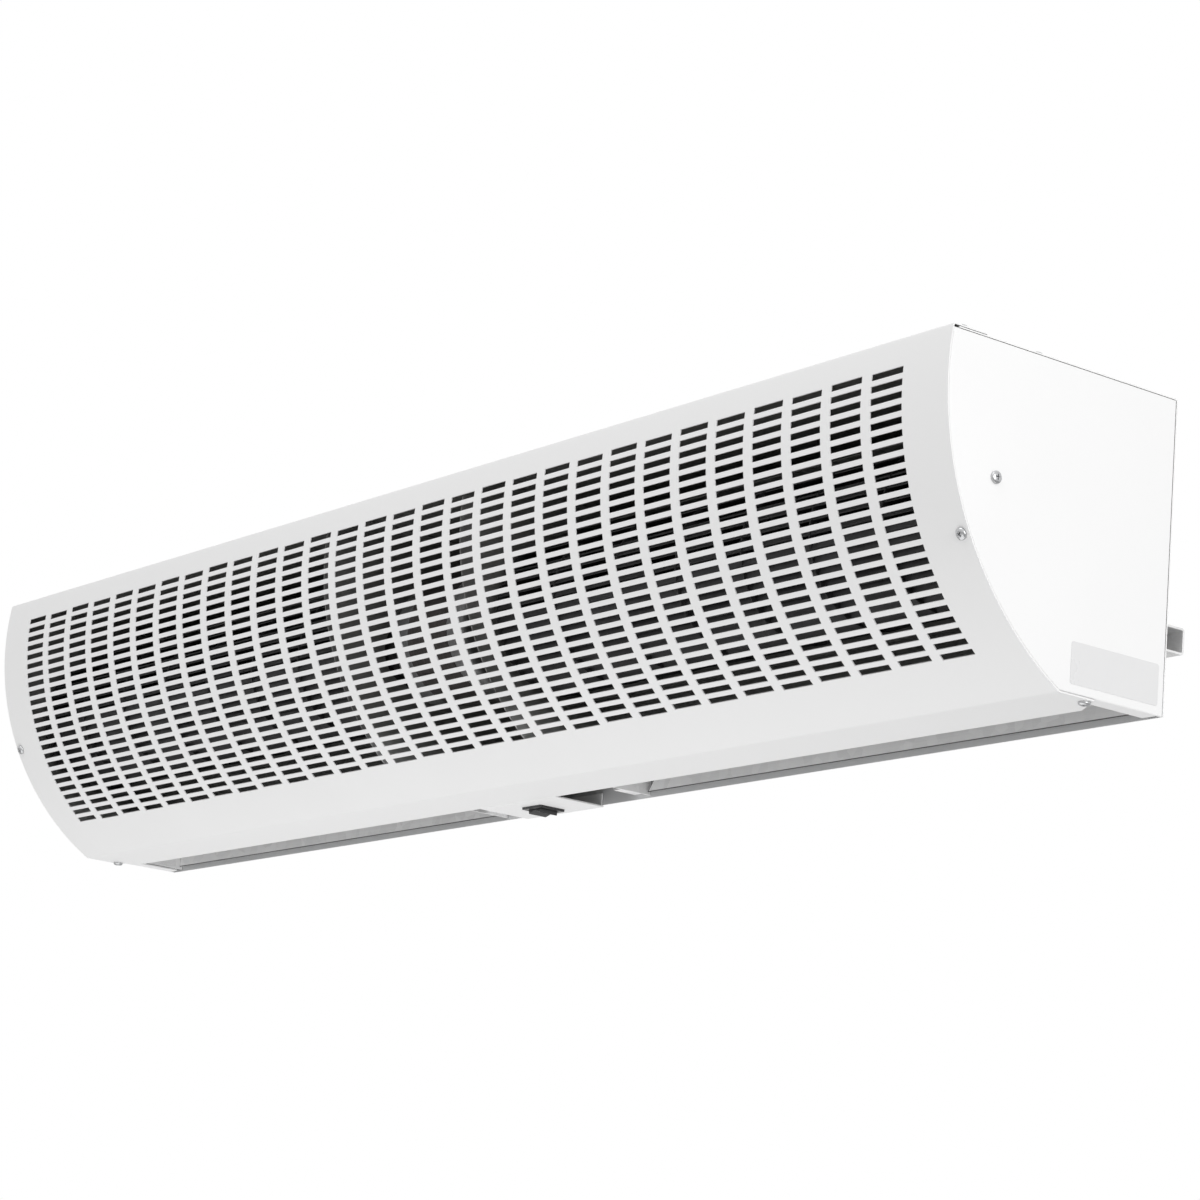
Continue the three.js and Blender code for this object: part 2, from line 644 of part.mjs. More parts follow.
// Rubber bush: grips the hole of the bearing wall in its groove and holds the bearing.
function bearingBush(side) {
  const half = BUSH_W / 2;
  const slit = WALL_T / 2 + SEAT;
  const floor = BUSH_R - BUSH_GROOVE;
  const bore = BEARING_R + SEAT;
  const profile = [
    [-half, bore], [-half, BUSH_R], [-slit, BUSH_R], [-slit, floor], [slit, floor], [slit, BUSH_R],
    [half, BUSH_R], [half, bore], [-half, bore],
  ].map(([x, radius]) => [side * BUSH_X + x, radius]);
  return onAxis(turned(profile, 14));
}

// ---- Motor -----------------------------------------------------------------------------

// Stack of stator plates held between the two end caps.
function stator() {
  return ring(MOTOR_R, STATOR_BORE_R, -STATOR_L / 2, STATOR_L / 2, 24);
}

// Rotor core pressed on the shaft, which carries a fan hub at each end.
function rotor() {
  const core = ROTOR_L / 2;
  const profile = [
    [-SHAFT_HALF, 0], [-SHAFT_HALF, SHAFT_R], [-core, SHAFT_R], [-core, ROTOR_R],
    [core, ROTOR_R], [core, SHAFT_R], [SHAFT_HALF, SHAFT_R], [SHAFT_HALF, 0],
  ];
  return onAxis(turned(profile, 20));
}

function motorCap(side) {
  const face = CAP_X;
  const end = MOTOR_END;
  const bore = SHAFT_R + SEAT;
  const profile = [
    [face, MOTOR_R - CAP_T], [face, MOTOR_R], [end - CAP_T, MOTOR_R], [end, MOTOR_R - CAP_T],
    [end, BOSS_R], [end + BOSS_L, BOSS_R], [end + BOSS_L, bore], [end - CAP_T, bore],
    [end - CAP_T, MOTOR_R - CAP_T], [face, MOTOR_R - CAP_T],
  ].map(([x, radius]) => [side * x, radius]);
  return onAxis(turned(profile, 20));
}

function motorRing(side) {
  const start = MOTOR_END + SEAT;
  return ring(RING_R, BOSS_R + SEAT, ...span(side, start, start + RING_W), 20);
}

// Folded bracket: a back plate, two cheeks with half-round seats, and tabs for the straps.
function motorBracket() {
  const back = INSIDE_BACK - BRACKET_T;
  const low = AXIS_Z - BRACKET_H / 2;
  const high = AXIS_Z + BRACKET_H / 2;
  const seat = RING_R + SEAT;
  const cheek = [
    [back + BRACKET_T / 2, low], [AXIS_Y, low], ...arc(AXIS_Y, AXIS_Z, seat, -90, 90, 10),
    [AXIS_Y, high], [back + BRACKET_T / 2, high],
  ];
  const pieces = [box(-CHEEK_X - BRACKET_T, CHEEK_X + BRACKET_T, back, INSIDE_BACK, low, high)];
  for (const side of [-1, 1]) {
    pieces.push(alongX(cheek, ...span(side, CHEEK_X, CHEEK_X + BRACKET_T)));
    const [x0, x1] = span(side, CHEEK_X + BRACKET_T / 2, CHEEK_X + BRACKET_T + TAB_W);
    pieces.push(box(x0, x1, AXIS_Y, AXIS_Y + BRACKET_T, seat + AXIS_Z, high));
    pieces.push(box(x0, x1, AXIS_Y, AXIS_Y + BRACKET_T, low, AXIS_Z - seat));
  }
  return cut(joined(pieces), strapScrews().map((place) => screwHole(place, 6)));
}

// Strap over a rubber ring: hooked under the bracket's lower tab, screwed to the upper one.
function motorStrap(side) {
  const seat = RING_R + SEAT;
  const reach = BRACKET_H / 2;
  const front = AXIS_Y - SEAT;
  const around = arc(AXIS_Y, AXIS_Z, seat, 260, 100, 12).filter(([y]) => y < front - SEAT);
  const hook = AXIS_Z - reach - SEAT;
  const path = [
    [AXIS_Y + BRACKET_T, hook], [front, hook], [front, AXIS_Z - seat - STRAP_T], ...around,
    [front, AXIS_Z + seat + STRAP_T], [front, AXIS_Z + reach],
  ];
  const x0 = CHEEK_X + BRACKET_T + SEAT;
  return cut(alongX(strip(path, STRAP_T), ...span(side, x0, x0 + STRAP_W)),
    onSide(strapScrews(), side).map((place) => screwHole(place, 6)));
}

// ---- Switch ----------------------------------------------------------------------------

// Sheet that closes the middle of the outlet, with a flange up its front and its rear edge.
function switchPlate() {
  const half = SWITCH_PLATE_L / 2;
  const left = SWITCH_X - half;
  const right = SWITCH_X + half;
  const front = -OUTLET_DEPTH + SEAT;
  const rear = INSIDE_BACK;
  const pieces = [
    box(left, right, front, 0, 0, CASE_T),
    box(left, right, front, front + CASE_T, CASE_T / 2, SWITCH_FLANGE),
    box(left, right, rear - CASE_T, rear, CASE_T / 2, SWITCH_FLANGE),
  ];
  const opening = alongZ(rectangle(SWITCH_X, SWITCH_Y,
    SWITCH_BODY_X + 2 * SEAT, SWITCH_BODY_Y + 2 * SEAT), -OVERCUT, CASE_T + OVERCUT);
  return cut(joined(pieces), [opening]);
}

function switchHousing() {
  const bezel = alongZ(
    rectangle(SWITCH_X, SWITCH_Y, BEZEL_X, BEZEL_Y, BEZEL_CORNER), -BEZEL_T, 0);
  const body = alongZ(
    rectangle(SWITCH_X, SWITCH_Y, SWITCH_BODY_X, SWITCH_BODY_Y), -BEZEL_T / 2, SWITCH_BODY_H);
  const well = alongZ(
    rectangle(SWITCH_X, SWITCH_Y, ROCKER_X + 2 * ROCKER_ROOM, ROCKER_Y + 2 * SEAT),
    -BEZEL_T - OVERCUT, ROCKER_PIVOT_Z + ROCKER_X / 2);
  const socket = 2 * (PIN_R + SEAT);
  const pinHole = alongY(rectangle(SWITCH_X, ROCKER_PIVOT_Z, socket, socket),
    SWITCH_Y - SWITCH_BODY_Y, SWITCH_Y + SWITCH_BODY_Y);
  return cut(joined([bezel, body]), [well, pinHole]);
}

// Rocker that tips about an axis along Y, with a shallow V between its two ends.
function switchRocker() {
  const half = ROCKER_X / 2;
  const tapered = half - ROCKER_TAPER;
  const low = -BEZEL_T - ROCKER_DROP;
  const back = ROCKER_PIVOT_Z + ROCKER_BACK;
  const outline = [
    [SWITCH_X - tapered, low], [SWITCH_X, low + ROCKER_DIP], [SWITCH_X + tapered, low],
    [SWITCH_X + half, 0], [SWITCH_X + tapered, ROCKER_PIVOT_Z],
    [SWITCH_X + ROCKER_BACK_W / 2, back], [SWITCH_X - ROCKER_BACK_W / 2, back],
    [SWITCH_X - tapered, ROCKER_PIVOT_Z], [SWITCH_X - half, 0],
  ];
  const reach = ROCKER_Y / 2 + PIN_L;
  return joined([
    alongY(outline, SWITCH_Y - ROCKER_Y / 2, SWITCH_Y + ROCKER_Y / 2),
    alongY(circle(SWITCH_X, ROCKER_PIVOT_Z, PIN_R, 8), SWITCH_Y - reach, SWITCH_Y + reach),
  ]);
}

// Base of the switch with its three blade terminals.
function switchTerminals() {
  const z = SWITCH_BODY_H + SEAT;
  const width = SWITCH_BODY_X - 2 * TERMINAL_BASE_INSET;
  const base = alongZ(
    rectangle(SWITCH_X, SWITCH_Y, width, SWITCH_BODY_Y - 2 * TERMINAL_BASE_INSET),
    z, z + TERMINAL_BASE_T);
  const blades = [-1, 0, 1].map((place) => {
    const x = SWITCH_X + place * width * 0.4;
    return box(x - TERMINAL_T / 2, x + TERMINAL_T / 2, SWITCH_Y - TERMINAL_W / 2,
      SWITCH_Y + TERMINAL_W / 2, z + TERMINAL_BASE_T / 2, z + TERMINAL_BASE_T + TERMINAL_H);
  });
  return joined([base, ...blades]);
}

// ---- Motor bay fittings ----------------------------------------------------------------

function capacitor() {
  const [width, depth, height] = CAPACITOR;
  const back = INSIDE_BACK - CLIP_T - SEAT;
  return alongZ(rectangle(BAY_X, back - depth / 2, width, depth, CAPACITOR_CORNER),
    CAPACITOR_Z, CAPACITOR_Z + height);
}

// Clip round the capacitor, with a foot on the back of the casing.
function capacitorClip() {
  const [width, depth, height] = CAPACITOR;
  const room = depth + 2 * SEAT;
  const y = INSIDE_BACK - CLIP_T - room / 2;
  const outline = rectangle(BAY_X, y, width + 2 * (SEAT + CLIP_T), room + 2 * CLIP_T);
  const inside = rectangle(BAY_X, y, width + 2 * SEAT, room);
  const middle = CAPACITOR_Z + height / 2;
  return alongZ(outline, middle - CLIP_W / 2, middle + CLIP_W / 2, [inside]);
}

function terminalBlock() {
  const [width, depth, height] = TERMINAL_BLOCK;
  const front = INSIDE_BACK - depth;
  const pitch = height / TERMINAL_BLOCK_WAYS;
  const wells = [];
  for (let way = 0; way < TERMINAL_BLOCK_WAYS; way += 1) {
    const z = TERMINAL_BLOCK_Z + (way + 0.5) * pitch;
    wells.push(box(-BAY_X - width / 3, -BAY_X + width / 3, front - OVERCUT, front + depth / 3,
      z - pitch / 3, z + pitch / 3));
  }
  return cut(box(-BAY_X - width / 2, -BAY_X + width / 2, front, INSIDE_BACK,
    TERMINAL_BLOCK_Z, TERMINAL_BLOCK_Z + height), wells);
}

// ---- Wall rails ------------------------------------------------------------------------

// U-shaped channel: the web lies on the wall, the flanges point at the unit.
function wallRail(z, inset) {
  const half = RAIL_H / 2;
  const end = HALF - inset;
  const outline = [
    [SEAT, z - half], [RAIL_BACK, z - half], [RAIL_BACK, z + half], [SEAT, z + half],
    [SEAT, z + half - RAIL_T], [RAIL_BACK - RAIL_T, z + half - RAIL_T],
    [RAIL_BACK - RAIL_T, z - half + RAIL_T], [SEAT, z - half + RAIL_T],
  ];
  const holes = [-1, 1].map((side) => drill(WALL_HOLE_R, OVERCUT, RAIL_T + OVERCUT, 8,
    [side * WALL_HOLE_X, RAIL_BACK, z], [0, 1, 0]));
  return cut(alongX(outline, -end, end), holes);
}

const postPlaces = () => [RAIL_Z, UPPER_RAIL_Z].flatMap((z) => [[-POST_X, z], [POST_X, z]]);

// Post riveted into the back of the casing, standing on the web of a rail.
function railPost([x, z]) {
  const inside = -CASE_T - SEAT;
  return turnedAt([
    [inside - POST_HEAD_H, 0], [inside - POST_HEAD_H, POST_R], [inside, POST_R],
    [inside, POST_NECK_R], [SEAT, POST_NECK_R], [SEAT, POST_R],
    [RAIL_BACK - RAIL_T - SEAT, POST_R], [RAIL_BACK - RAIL_T - SEAT, 0],
  ], 10, [x, 0, z], [0, 1, 0]);
}

// ---- Materials and assembly ------------------------------------------------------------

const finish = (color, roughness, metalness) => (
  () => new THREE.MeshStandardMaterial({ color, roughness, metalness }));
const whitePaint = finish('#efefef', 0.45, 0.0);
const zinc = finish('#b4b6b8', 0.4, 0.8);
const castAluminium = finish('#9a9c9e', 0.5, 0.8);
const steel = finish('#c8cacc', 0.25, 1.0);
const blackPaint = finish('#1c1c1e', 0.5, 0.2);
const rubber = finish('#202020', 0.85, 0.0);
const blackPlastic = finish('#18181a', 0.35, 0.0);
const greyPlastic = finish('#d9d9d4', 0.5, 0.0);
const labelFoil = finish('#dcdcdc', 0.5, 0.0);
const castIron = finish('#3a3a3c', 0.6, 0.6);
const brass = finish('#c9a25a', 0.35, 0.9);

const unit = new THREE.Group();

function add(name, geometry, material) {
  const mesh = new THREE.Mesh(geometry, material());
  mesh.name = name;
  unit.add(mesh);
}

function addPair(name, places, sides) {
  places.forEach((place) => add(
    `${name}_${place.at[0] < 0 ? 'left' : 'right'}`, screw(place, sides), steel));
}

add('front_panel', frontPanel(), whitePaint);
add('rear_casing', rearCasing(), whitePaint);
add('rating_label', ratingLabel(), labelFoil);
add('cable_grommet', cableGrommet(), rubber);
addPair('panel_front_screw', frontScrews());
addPair('panel_bottom_screw', bottomScrews());
addPair('panel_top_screw', topFrontScrews());
addPair('casing_top_screw', topRearScrews());
addPair('end_plate_screw', endScrews());

for (const [side, name] of [[-1, 'left'], [1, 'right']]) {
  add(`end_plate_${name}`, endPlate(side), whitePaint);
  add(`bearing_wall_${name}`, bearingWall(side), zinc);
  add(`bearing_bush_${name}`, bearingBush(side), rubber);
  add(`bearing_${name}`, bearing(side), steel);
  add(`partition_${name}`, partition(side), zinc);
  add(`scroll_sheet_${name}`, scrollSheet(side), zinc);
  add(`outlet_tongue_${name}`, tongue(side), zinc);
  add(`impeller_${name}`, impeller(side), blackPaint);
  add(`impeller_hub_${name}`, hub(side), rubber);
  add(`stub_shaft_${name}`, stubShaft(side), steel);
  add(`motor_cap_${name}`, motorCap(side), castAluminium);
  add(`motor_ring_${name}`, motorRing(side), rubber);
  add(`motor_strap_${name}`, motorStrap(side), zinc);
}

add('stator', stator(), castIron);
add('motor_rotor', rotor(), steel);
add('motor_bracket', motorBracket(), zinc);
addPair('motor_strap_screw', strapScrews(), 6);

add('switch_plate', switchPlate(), whitePaint);
add('switch_housing', switchHousing(), blackPlastic);
add('switch_rocker', switchRocker(), blackPlastic);
add('switch_terminals', switchTerminals(), brass);

add('capacitor', capacitor(), greyPlastic);
add('capacitor_clip', capacitorClip(), zinc);
add('terminal_block', terminalBlock(), greyPlastic);

add('wall_rail_lower', wallRail(RAIL_Z, RAIL_INSET), zinc);
add('wall_rail_upper', wallRail(UPPER_RAIL_Z, UPPER_RAIL_INSET), zinc);
postPlaces().forEach(([x, z]) => {
  const name = `rail_post_${z === RAIL_Z ? 'lower' : 'upper'}_${x < 0 ? 'left' : 'right'}`;
  add(name, railPost([x, z]), steel);
});

unit.position.set(0, -RAIL_BACK, -RAIL_Z);

const airCurtain = new THREE.Group();
airCurtain.add(unit);

export default airCurtain;
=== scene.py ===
"""Air curtain for hanging over a doorway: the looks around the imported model.

Meshes are drawn in millimetres on the casing's own axes: x runs along the unit from its middle,
y = 0 is the rear face of the casing with the front at -y, and z = 0 is its underside. TO_FRAME
turns them into the frame's metres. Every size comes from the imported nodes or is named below.
"""

import math

import bmesh
import bpy
from mathutils import Matrix, Vector

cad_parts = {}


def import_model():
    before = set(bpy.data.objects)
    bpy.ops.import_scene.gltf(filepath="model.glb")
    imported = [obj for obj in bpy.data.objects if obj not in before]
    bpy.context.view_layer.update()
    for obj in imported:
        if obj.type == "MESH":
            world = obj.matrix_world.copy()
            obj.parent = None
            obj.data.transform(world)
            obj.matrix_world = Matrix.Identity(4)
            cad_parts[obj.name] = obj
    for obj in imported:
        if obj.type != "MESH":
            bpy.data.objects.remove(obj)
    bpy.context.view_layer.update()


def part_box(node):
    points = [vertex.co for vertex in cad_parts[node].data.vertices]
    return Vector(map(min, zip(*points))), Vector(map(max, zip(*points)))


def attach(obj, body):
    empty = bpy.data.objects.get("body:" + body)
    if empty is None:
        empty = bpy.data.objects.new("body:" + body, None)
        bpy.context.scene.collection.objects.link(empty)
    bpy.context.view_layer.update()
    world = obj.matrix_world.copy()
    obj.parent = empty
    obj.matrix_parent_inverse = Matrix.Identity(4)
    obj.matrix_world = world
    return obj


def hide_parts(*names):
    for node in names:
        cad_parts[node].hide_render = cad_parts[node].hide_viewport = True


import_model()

scene = bpy.context.scene

# ---- Driving sizes, in millimetres -------------------------------------------------------

MM = 0.001
TO_FRAME = (
    Matrix.Translation((0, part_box("rear_casing")[1].y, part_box("front_panel")[0].z))
    @ Matrix.Scale(MM, 4)
)
TO_CASING = TO_FRAME.inverted()

FRONT_RADIUS = 203
SKIN_INSET = 0.1  # the curved skin is drawn this far inside its nominal radius
TOP_DEPTH = 187
BOTTOM_DEPTH = 87
SHEET = 1.0
PLATE = 1.2
SEAT = 0.3
TOUCH = 0.05  # left between the end plates and the sheets over them
GROMMET_HOLE = 9  # radius of the cable's hole in the back
BUSH_HOLE = 15.3  # radius of a bearing wall's hole
SHAFT_HOLE = 26  # radius of a partition's hole
WALL_FLANGE = 11  # width of the flanges of the walls inside
WALL_BEND = 1.6
WALL_TOP_REACH = 155  # how far a wall's top flange comes forward
BEND = 2.2  # outer radius of a bend in the casing's sheets

SLOT_COLUMNS = 30
SLOT_ROWS = 24
SLOT_LENGTH = 28.8
SLOT_HEIGHT = 4.3
COLUMN_PITCH = 37.57
ROW_PITCH = 7.8  # along the arc
FIRST_ROW = 21.4  # middle of the first row below the top edge, along the arc
COLUMN_STAGGER = 0.8  # every other column of slots stands this much higher

OUTLET_DEPTH = 44
FOOT_RISE = 5  # foot of a partition above the underside
FOOT_LIP = 7
FOOT_DEPTH = 20
TOP_LAP = 27
CORNER_CUT = (25, 14)
END_FLANGE = 13
END_BEND = 0.9
CORNER_RELIEF = 4

HEAD_R = 4.0
HEAD_H = 2.4
SHANK_R = 1.95
FRONT_SCREW_ANGLE = math.radians(-28)

BLADES = 36
BLADE_DEPTH = 13
BLADE_T = 0.7
BLADE_CURVE = math.radians(15)
WHEEL_RINGS = 7  # spans between the wheel's rings
RING_T = 0.8

STATOR_BORE = 31
STRAP_SEAT = 27.3  # radius of the rubber rings' seats in the bracket and the straps
CAP_RIBS = 12

SWITCH_HOLE = (21.6, 19.6)
SWITCH_BODY = (21, 19)
SWITCH_WELL = (17.8, 16.2)  # opening that the rocker tips in
RAIL_SHEET = 1.5
RAIL_HOLE_X = 380  # from the middle to each of a rail's holes
RAIL_HOLE_R = 3.3


def extent(node):
    """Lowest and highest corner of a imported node, in casing millimetres."""
    low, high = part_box(node)
    return TO_CASING @ low, TO_CASING @ high


def span(node):
    """Lowest corner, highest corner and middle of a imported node."""
    low, high = extent(node)
    return low, high, (low + high) / 2


HALF = extent("front_panel")[1].x
HEIGHT = extent("front_panel")[1].z
AXIS = span("impeller_left")[2]
AXIS.x = 0
CASE_TOP = extent("rear_casing")[1].z
CASE_BOTTOM = extent("rear_casing")[0].z


def arc_centre():
    """Centre, as (y, z), of the arc from the top's front edge to the front of the underside."""
    chord_y = TOP_DEPTH - BOTTOM_DEPTH
    chord = math.hypot(chord_y, HEIGHT)
    off = math.sqrt(FRONT_RADIUS**2 - (chord / 2) ** 2)
    middle = -(TOP_DEPTH + BOTTOM_DEPTH) / 2
    return middle + off * HEIGHT / chord, HEIGHT / 2 + off * chord_y / chord


ARC_Y, ARC_Z = arc_centre()
ARC_TOP = math.asin((HEIGHT - ARC_Z) / FRONT_RADIUS)
ARC_BOTTOM = math.asin(-ARC_Z / FRONT_RADIUS)


# ---- Drawing helpers ---------------------------------------------------------------------


def arc_point(angle, inset=0.0):
    """Point (y, z) on the curved front, at an angle above the horizontal through its centre."""
    radius = FRONT_RADIUS - SKIN_INSET - inset
    return ARC_Y - radius * math.cos(angle), ARC_Z + radius * math.sin(angle)


def front_curve(inset, top, bottom, steps=28):
    """Points down the curved front, `inset` inside it, between two heights."""
    radius = FRONT_RADIUS - inset
    start = math.asin((top - ARC_Z) / radius)
    end = math.asin((bottom - ARC_Z) / radius)
    return [arc_point(start + (end - start) * i / steps, inset) for i in range(steps + 1)]


def circle(centre, radius, sides, start=0.0, end=math.tau):
    """Points of a circle, or of an arc of it with both of its ends."""
    whole = end - start == math.tau
    count = sides if whole else sides + 1
    return [
        (
            centre[0] + radius * math.cos(start + (end - start) * i / sides),
            centre[1] + radius * math.sin(start + (end - start) * i / sides),
        )
        for i in range(count)
    ]


def rounded(path, radius, steps=6, closed=False):
    """The path of 2-D points with each clear corner turned into an arc."""
    points = [Vector(p) for p in path]
    count = len(points)
    line = []
    for i, here in enumerate(points):
        if not closed and i in (0, count - 1):
            line.append(here)
            continue
        back = points[i - 1] - here
        ahead = points[(i + 1) % count] - here
        turn = math.pi - back.angle(ahead)
        if turn < math.radians(12):
            line.append(here)
            continue
        reach = min(radius * math.tan(turn / 2), 0.49 * back.length, 0.49 * ahead.length)
        start = here + back.normalized() * reach
        end = here + ahead.normalized() * reach
        for k in range(steps + 1):
            t = k / steps
            line.append(start * (1 - t) ** 2 + here * 2 * t * (1 - t) + end * t**2)
    return line


def beside(path, distance, closed=False):
    """The path moved sideways, to its left, by a distance."""
    points = [Vector(p) for p in path]
    count = len(points)
    moved = []
    for i, here in enumerate(points):
        back = here - points[i - 1] if closed or i else points[1] - here
        ahead = points[(i + 1) % count] - here if closed or i < count - 1 else back
        normals = [Vector((-d.y, d.x)).normalized() for d in (back, ahead)]
        both = normals[0] + normals[1]
        moved.append(here + both * (2 * distance / both.length_squared))
    return moved


def spot(axis, along, point):
    """3-D place of a 2-D point at a distance along an axis.

    Along x the point is (y, z), along y it is (x, z), and along z it is (x, y).
    """
    if axis == "x":
        return along, point[0], point[1]
    if axis == "y":
        return point[0], along, point[1]
    return point[0], point[1], along


def folded(path, thickness, start, end, axis="x", bend=BEND):
    """Bent sheet: the path across it drawn out along an axis, with its thickness on the path's left."""
    outer = rounded(path, bend)
    inner = beside(outer, thickness)
    bm = bmesh.new()
    rims = [
        [[bm.verts.new(spot(axis, at, p)) for p in line] for line in (outer, inner)]
        for at in (start, end)
    ]
    (near_out, near_in), (far_out, far_in) = rims
    for i in range(len(outer) - 1):
        bm.faces.new((near_out[i], near_out[i + 1], far_out[i + 1], far_out[i]))
        bm.faces.new((near_in[i + 1], near_in[i], far_in[i], far_in[i + 1]))
        bm.faces.new((near_out[i + 1], near_out[i], near_in[i], near_in[i + 1]))
        bm.faces.new((far_out[i], far_out[i + 1], far_in[i + 1], far_in[i]))
    for i in (0, -1):
        bm.faces.new((near_out[i], far_out[i], far_in[i], near_in[i]))
    return bm


def prism(outline, start, end, axis="x"):
    """Closed outline drawn out along an axis."""
    bm = bmesh.new()
    near = [bm.verts.new(spot(axis, start, p)) for p in outline]
    far = [bm.verts.new(spot(axis, end, p)) for p in outline]
    bm.faces.new(near)
    bm.faces.new(reversed(far))
    for i in range(len(outline)):
        j = (i + 1) % len(outline)
        bm.faces.new((near[j], near[i], far[i], far[j]))
    return bm


def block(low, high):
    """Box between two corners."""
    outline = [(low[1], low[2]), (high[1], low[2]), (high[1], high[2]), (low[1], high[2])]
    return prism(outline, low[0], high[0])


def rounded_box(centre, size, corner, start, end, axis="z"):
    """Block with rounded corners, drawn out along an axis."""
    w, h = size[0] / 2, size[1] / 2
    a, b = centre
    corners = [(a - w, b - h), (a + w, b - h), (a + w, b + h), (a - w, b + h)]
    return prism(rounded(corners, corner, closed=True), start, end, axis)


def turned(profile, sides=48, at=None, out=(1, 0, 0)):
    """Profile of (distance along the axis, radius) turned round it. The axis is the fan's unless given."""
    bm = bmesh.new()
    rings = []
    for along, radius in profile:
        around = [(0, 0)] if radius < 1e-6 else circle((0, 0), radius, sides)
        rings.append([bm.verts.new((along, y, z)) for y, z in around])
    closed = (Vector(profile[0]) - Vector(profile[-1])).length < 1e-6
    for i in range(len(profile) - 1):
        first, second = rings[i], rings[i + 1]
        if closed and i == len(profile) - 2:
            second = rings[0]
        for k in range(sides):
            m = (k + 1) % sides
            loop = [first[k % len(first)], first[m % len(first)]]
            loop += [second[m % len(second)], second[k % len(second)]]
            corners = list(dict.fromkeys(loop))
            if len(corners) > 2:
                bm.faces.new(corners)
    if closed:
        bmesh.ops.delete(bm, geom=rings[-1], context="VERTS")
    turn = Vector((1, 0, 0)).rotation_difference(Vector(out)).to_matrix().to_4x4()
    bm.transform(Matrix.Translation(AXIS if at is None else Vector(at)) @ turn)
    return bm


def peg(start, end, radius, sides=48, **where):
    """Round bar between two distances along an axis, also used to cut holes."""
    return turned([(start, 0), (start, radius), (end, radius), (end, 0)], sides, **where)


def ring(middle, half, sides=64, **where):
    """Ring alike on both sides of its middle, from points (distance from it, radius)."""
    profile = [(middle - d, r) for d, r in half] + [(middle + d, r) for d, r in reversed(half)]
    return turned([*profile, profile[0]], sides, **where)


def mirrored(bm):
    """The mesh on the other side of the middle."""
    bm.transform(Matrix.Scale(-1, 4, (1, 0, 0)))
    return bm


def joined(*parts):
    """The meshes as one, each still a closed shell."""
    bm = bmesh.new()
    for part in parts:
        mesh = bpy.data.meshes.new("part")
        part.to_mesh(mesh)
        part.free()
        bm.from_mesh(mesh)
        bpy.data.meshes.remove(mesh)
    return bm


def in_scene(bm, name, suffix=""):
    """Object of a mesh."""
    mesh = bpy.data.meshes.new(name)
    bm.to_mesh(mesh)
    bm.free()
    obj = bpy.data.objects.new(name + suffix, mesh)
    scene.collection.objects.link(obj)
    return obj


def loose(bm, name):
    """Temporary object of a mesh, for a boolean."""
    bmesh.ops.recalc_face_normals(bm, faces=bm.faces)
    return in_scene(bm, name)


def carved(bm, tools, operation="DIFFERENCE"):
    """The mesh with each tool cut from it, or united with it."""
    body = loose(bm, "body")
    others = [loose(tool, "tool") for tool in tools]
    for other in others:
        change = body.modifiers.new("change", "BOOLEAN")
        change.operation = operation
        change.solver = "EXACT"
        change.object = other
    result = bmesh.new()
    result.from_object(body, bpy.context.evaluated_depsgraph_get())
    for obj in (body, *others):
        mesh = obj.data
        bpy.data.objects.remove(obj)
        bpy.data.meshes.remove(mesh)
    return result


def piece(name, bm, material, body="housing", edge=0.0, smooth=32):
    """Shown piece from a mesh in casing millimetres, in place of the node of its name."""
    bmesh.ops.remove_doubles(bm, verts=bm.verts, dist=1e-4)
    bmesh.ops.recalc_face_normals(bm, faces=bm.faces)
    bm.transform(TO_FRAME)
    obj = in_scene(bm, name, "_shown")
    mesh = obj.data
    mesh.materials.append(material)
    mesh.polygons.foreach_set("use_smooth", [True] * len(mesh.polygons))
    mesh.set_sharp_from_angle(angle=math.radians(smooth))
    if edge:
        bevel = obj.modifiers.new("edges", "BEVEL")
        bevel.width = edge * MM
        bevel.segments = 2
        bevel.limit_method = "ANGLE"
        bevel.angle_limit = math.radians(smooth)
        bevel.harden_normals = True
        bevel.use_clamp_overlap = True
    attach(obj, body)
    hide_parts(name)
    return obj


SIDES = ((-1, "left"), (1, "right"))

# Painted shade inside the casing: sheets there are darkened towards the colour below, from the first height
# up to the second.
SHADE_START_HEIGHT = 20  # height above the underside where the painted shade inside begins
SHADE_FULL_HEIGHT = 50  # height from which the painted shade is full
PAINTED_SHADE_COLOUR = (0.14, 0.137, 0.132)
LAP_SHADOW_WIDTH = 0.3  # width of the painted shadow line along the scroll sheets' edges
SCROLL_SLANT = (6, 8)  # how far the scroll sheets' inner end slants outwards, and over what height


def sided(side, near, far):
    """Both ends of a range of distances from the middle, on one side."""
    return (side * near, side * far) if side > 0 else (side * far, side * near)


# ---- Materials ---------------------------------------------------------------------------


def add_node(tree, kind, links=(), **values):
    """Shader node with its settings, its sockets' values and the sockets linked into it."""
    node = tree.nodes.new(kind)
    for name, value in values.items():
        if hasattr(node, name):
            setattr(node, name, value)
        else:
            node.inputs[name.replace("_", " ")].default_value = value
    for name, source in dict(links).items():
        tree.links.new(source, node.inputs[name])
    return node


def combined(tree, operation, *sources):
    """Result of one calculation on values."""
    return add_node(tree, "ShaderNodeMath", dict(enumerate(sources)), operation=operation).outputs[0]


def spread(tree, value, start, end, low=0.0, high=1.0):
    """A value spread over a range: low at its start, high at its end."""
    sides = {"From_Min": start, "From_Max": end, "To_Min": low, "To_Max": high}
    return add_node(tree, "ShaderNodeMapRange", {"Value": value}, **sides).outputs["Result"]


def noise(tree, links, **values):
    """Value of a noise."""
    return add_node(tree, "ShaderNodeTexNoise", links, **values).outputs["Fac"]


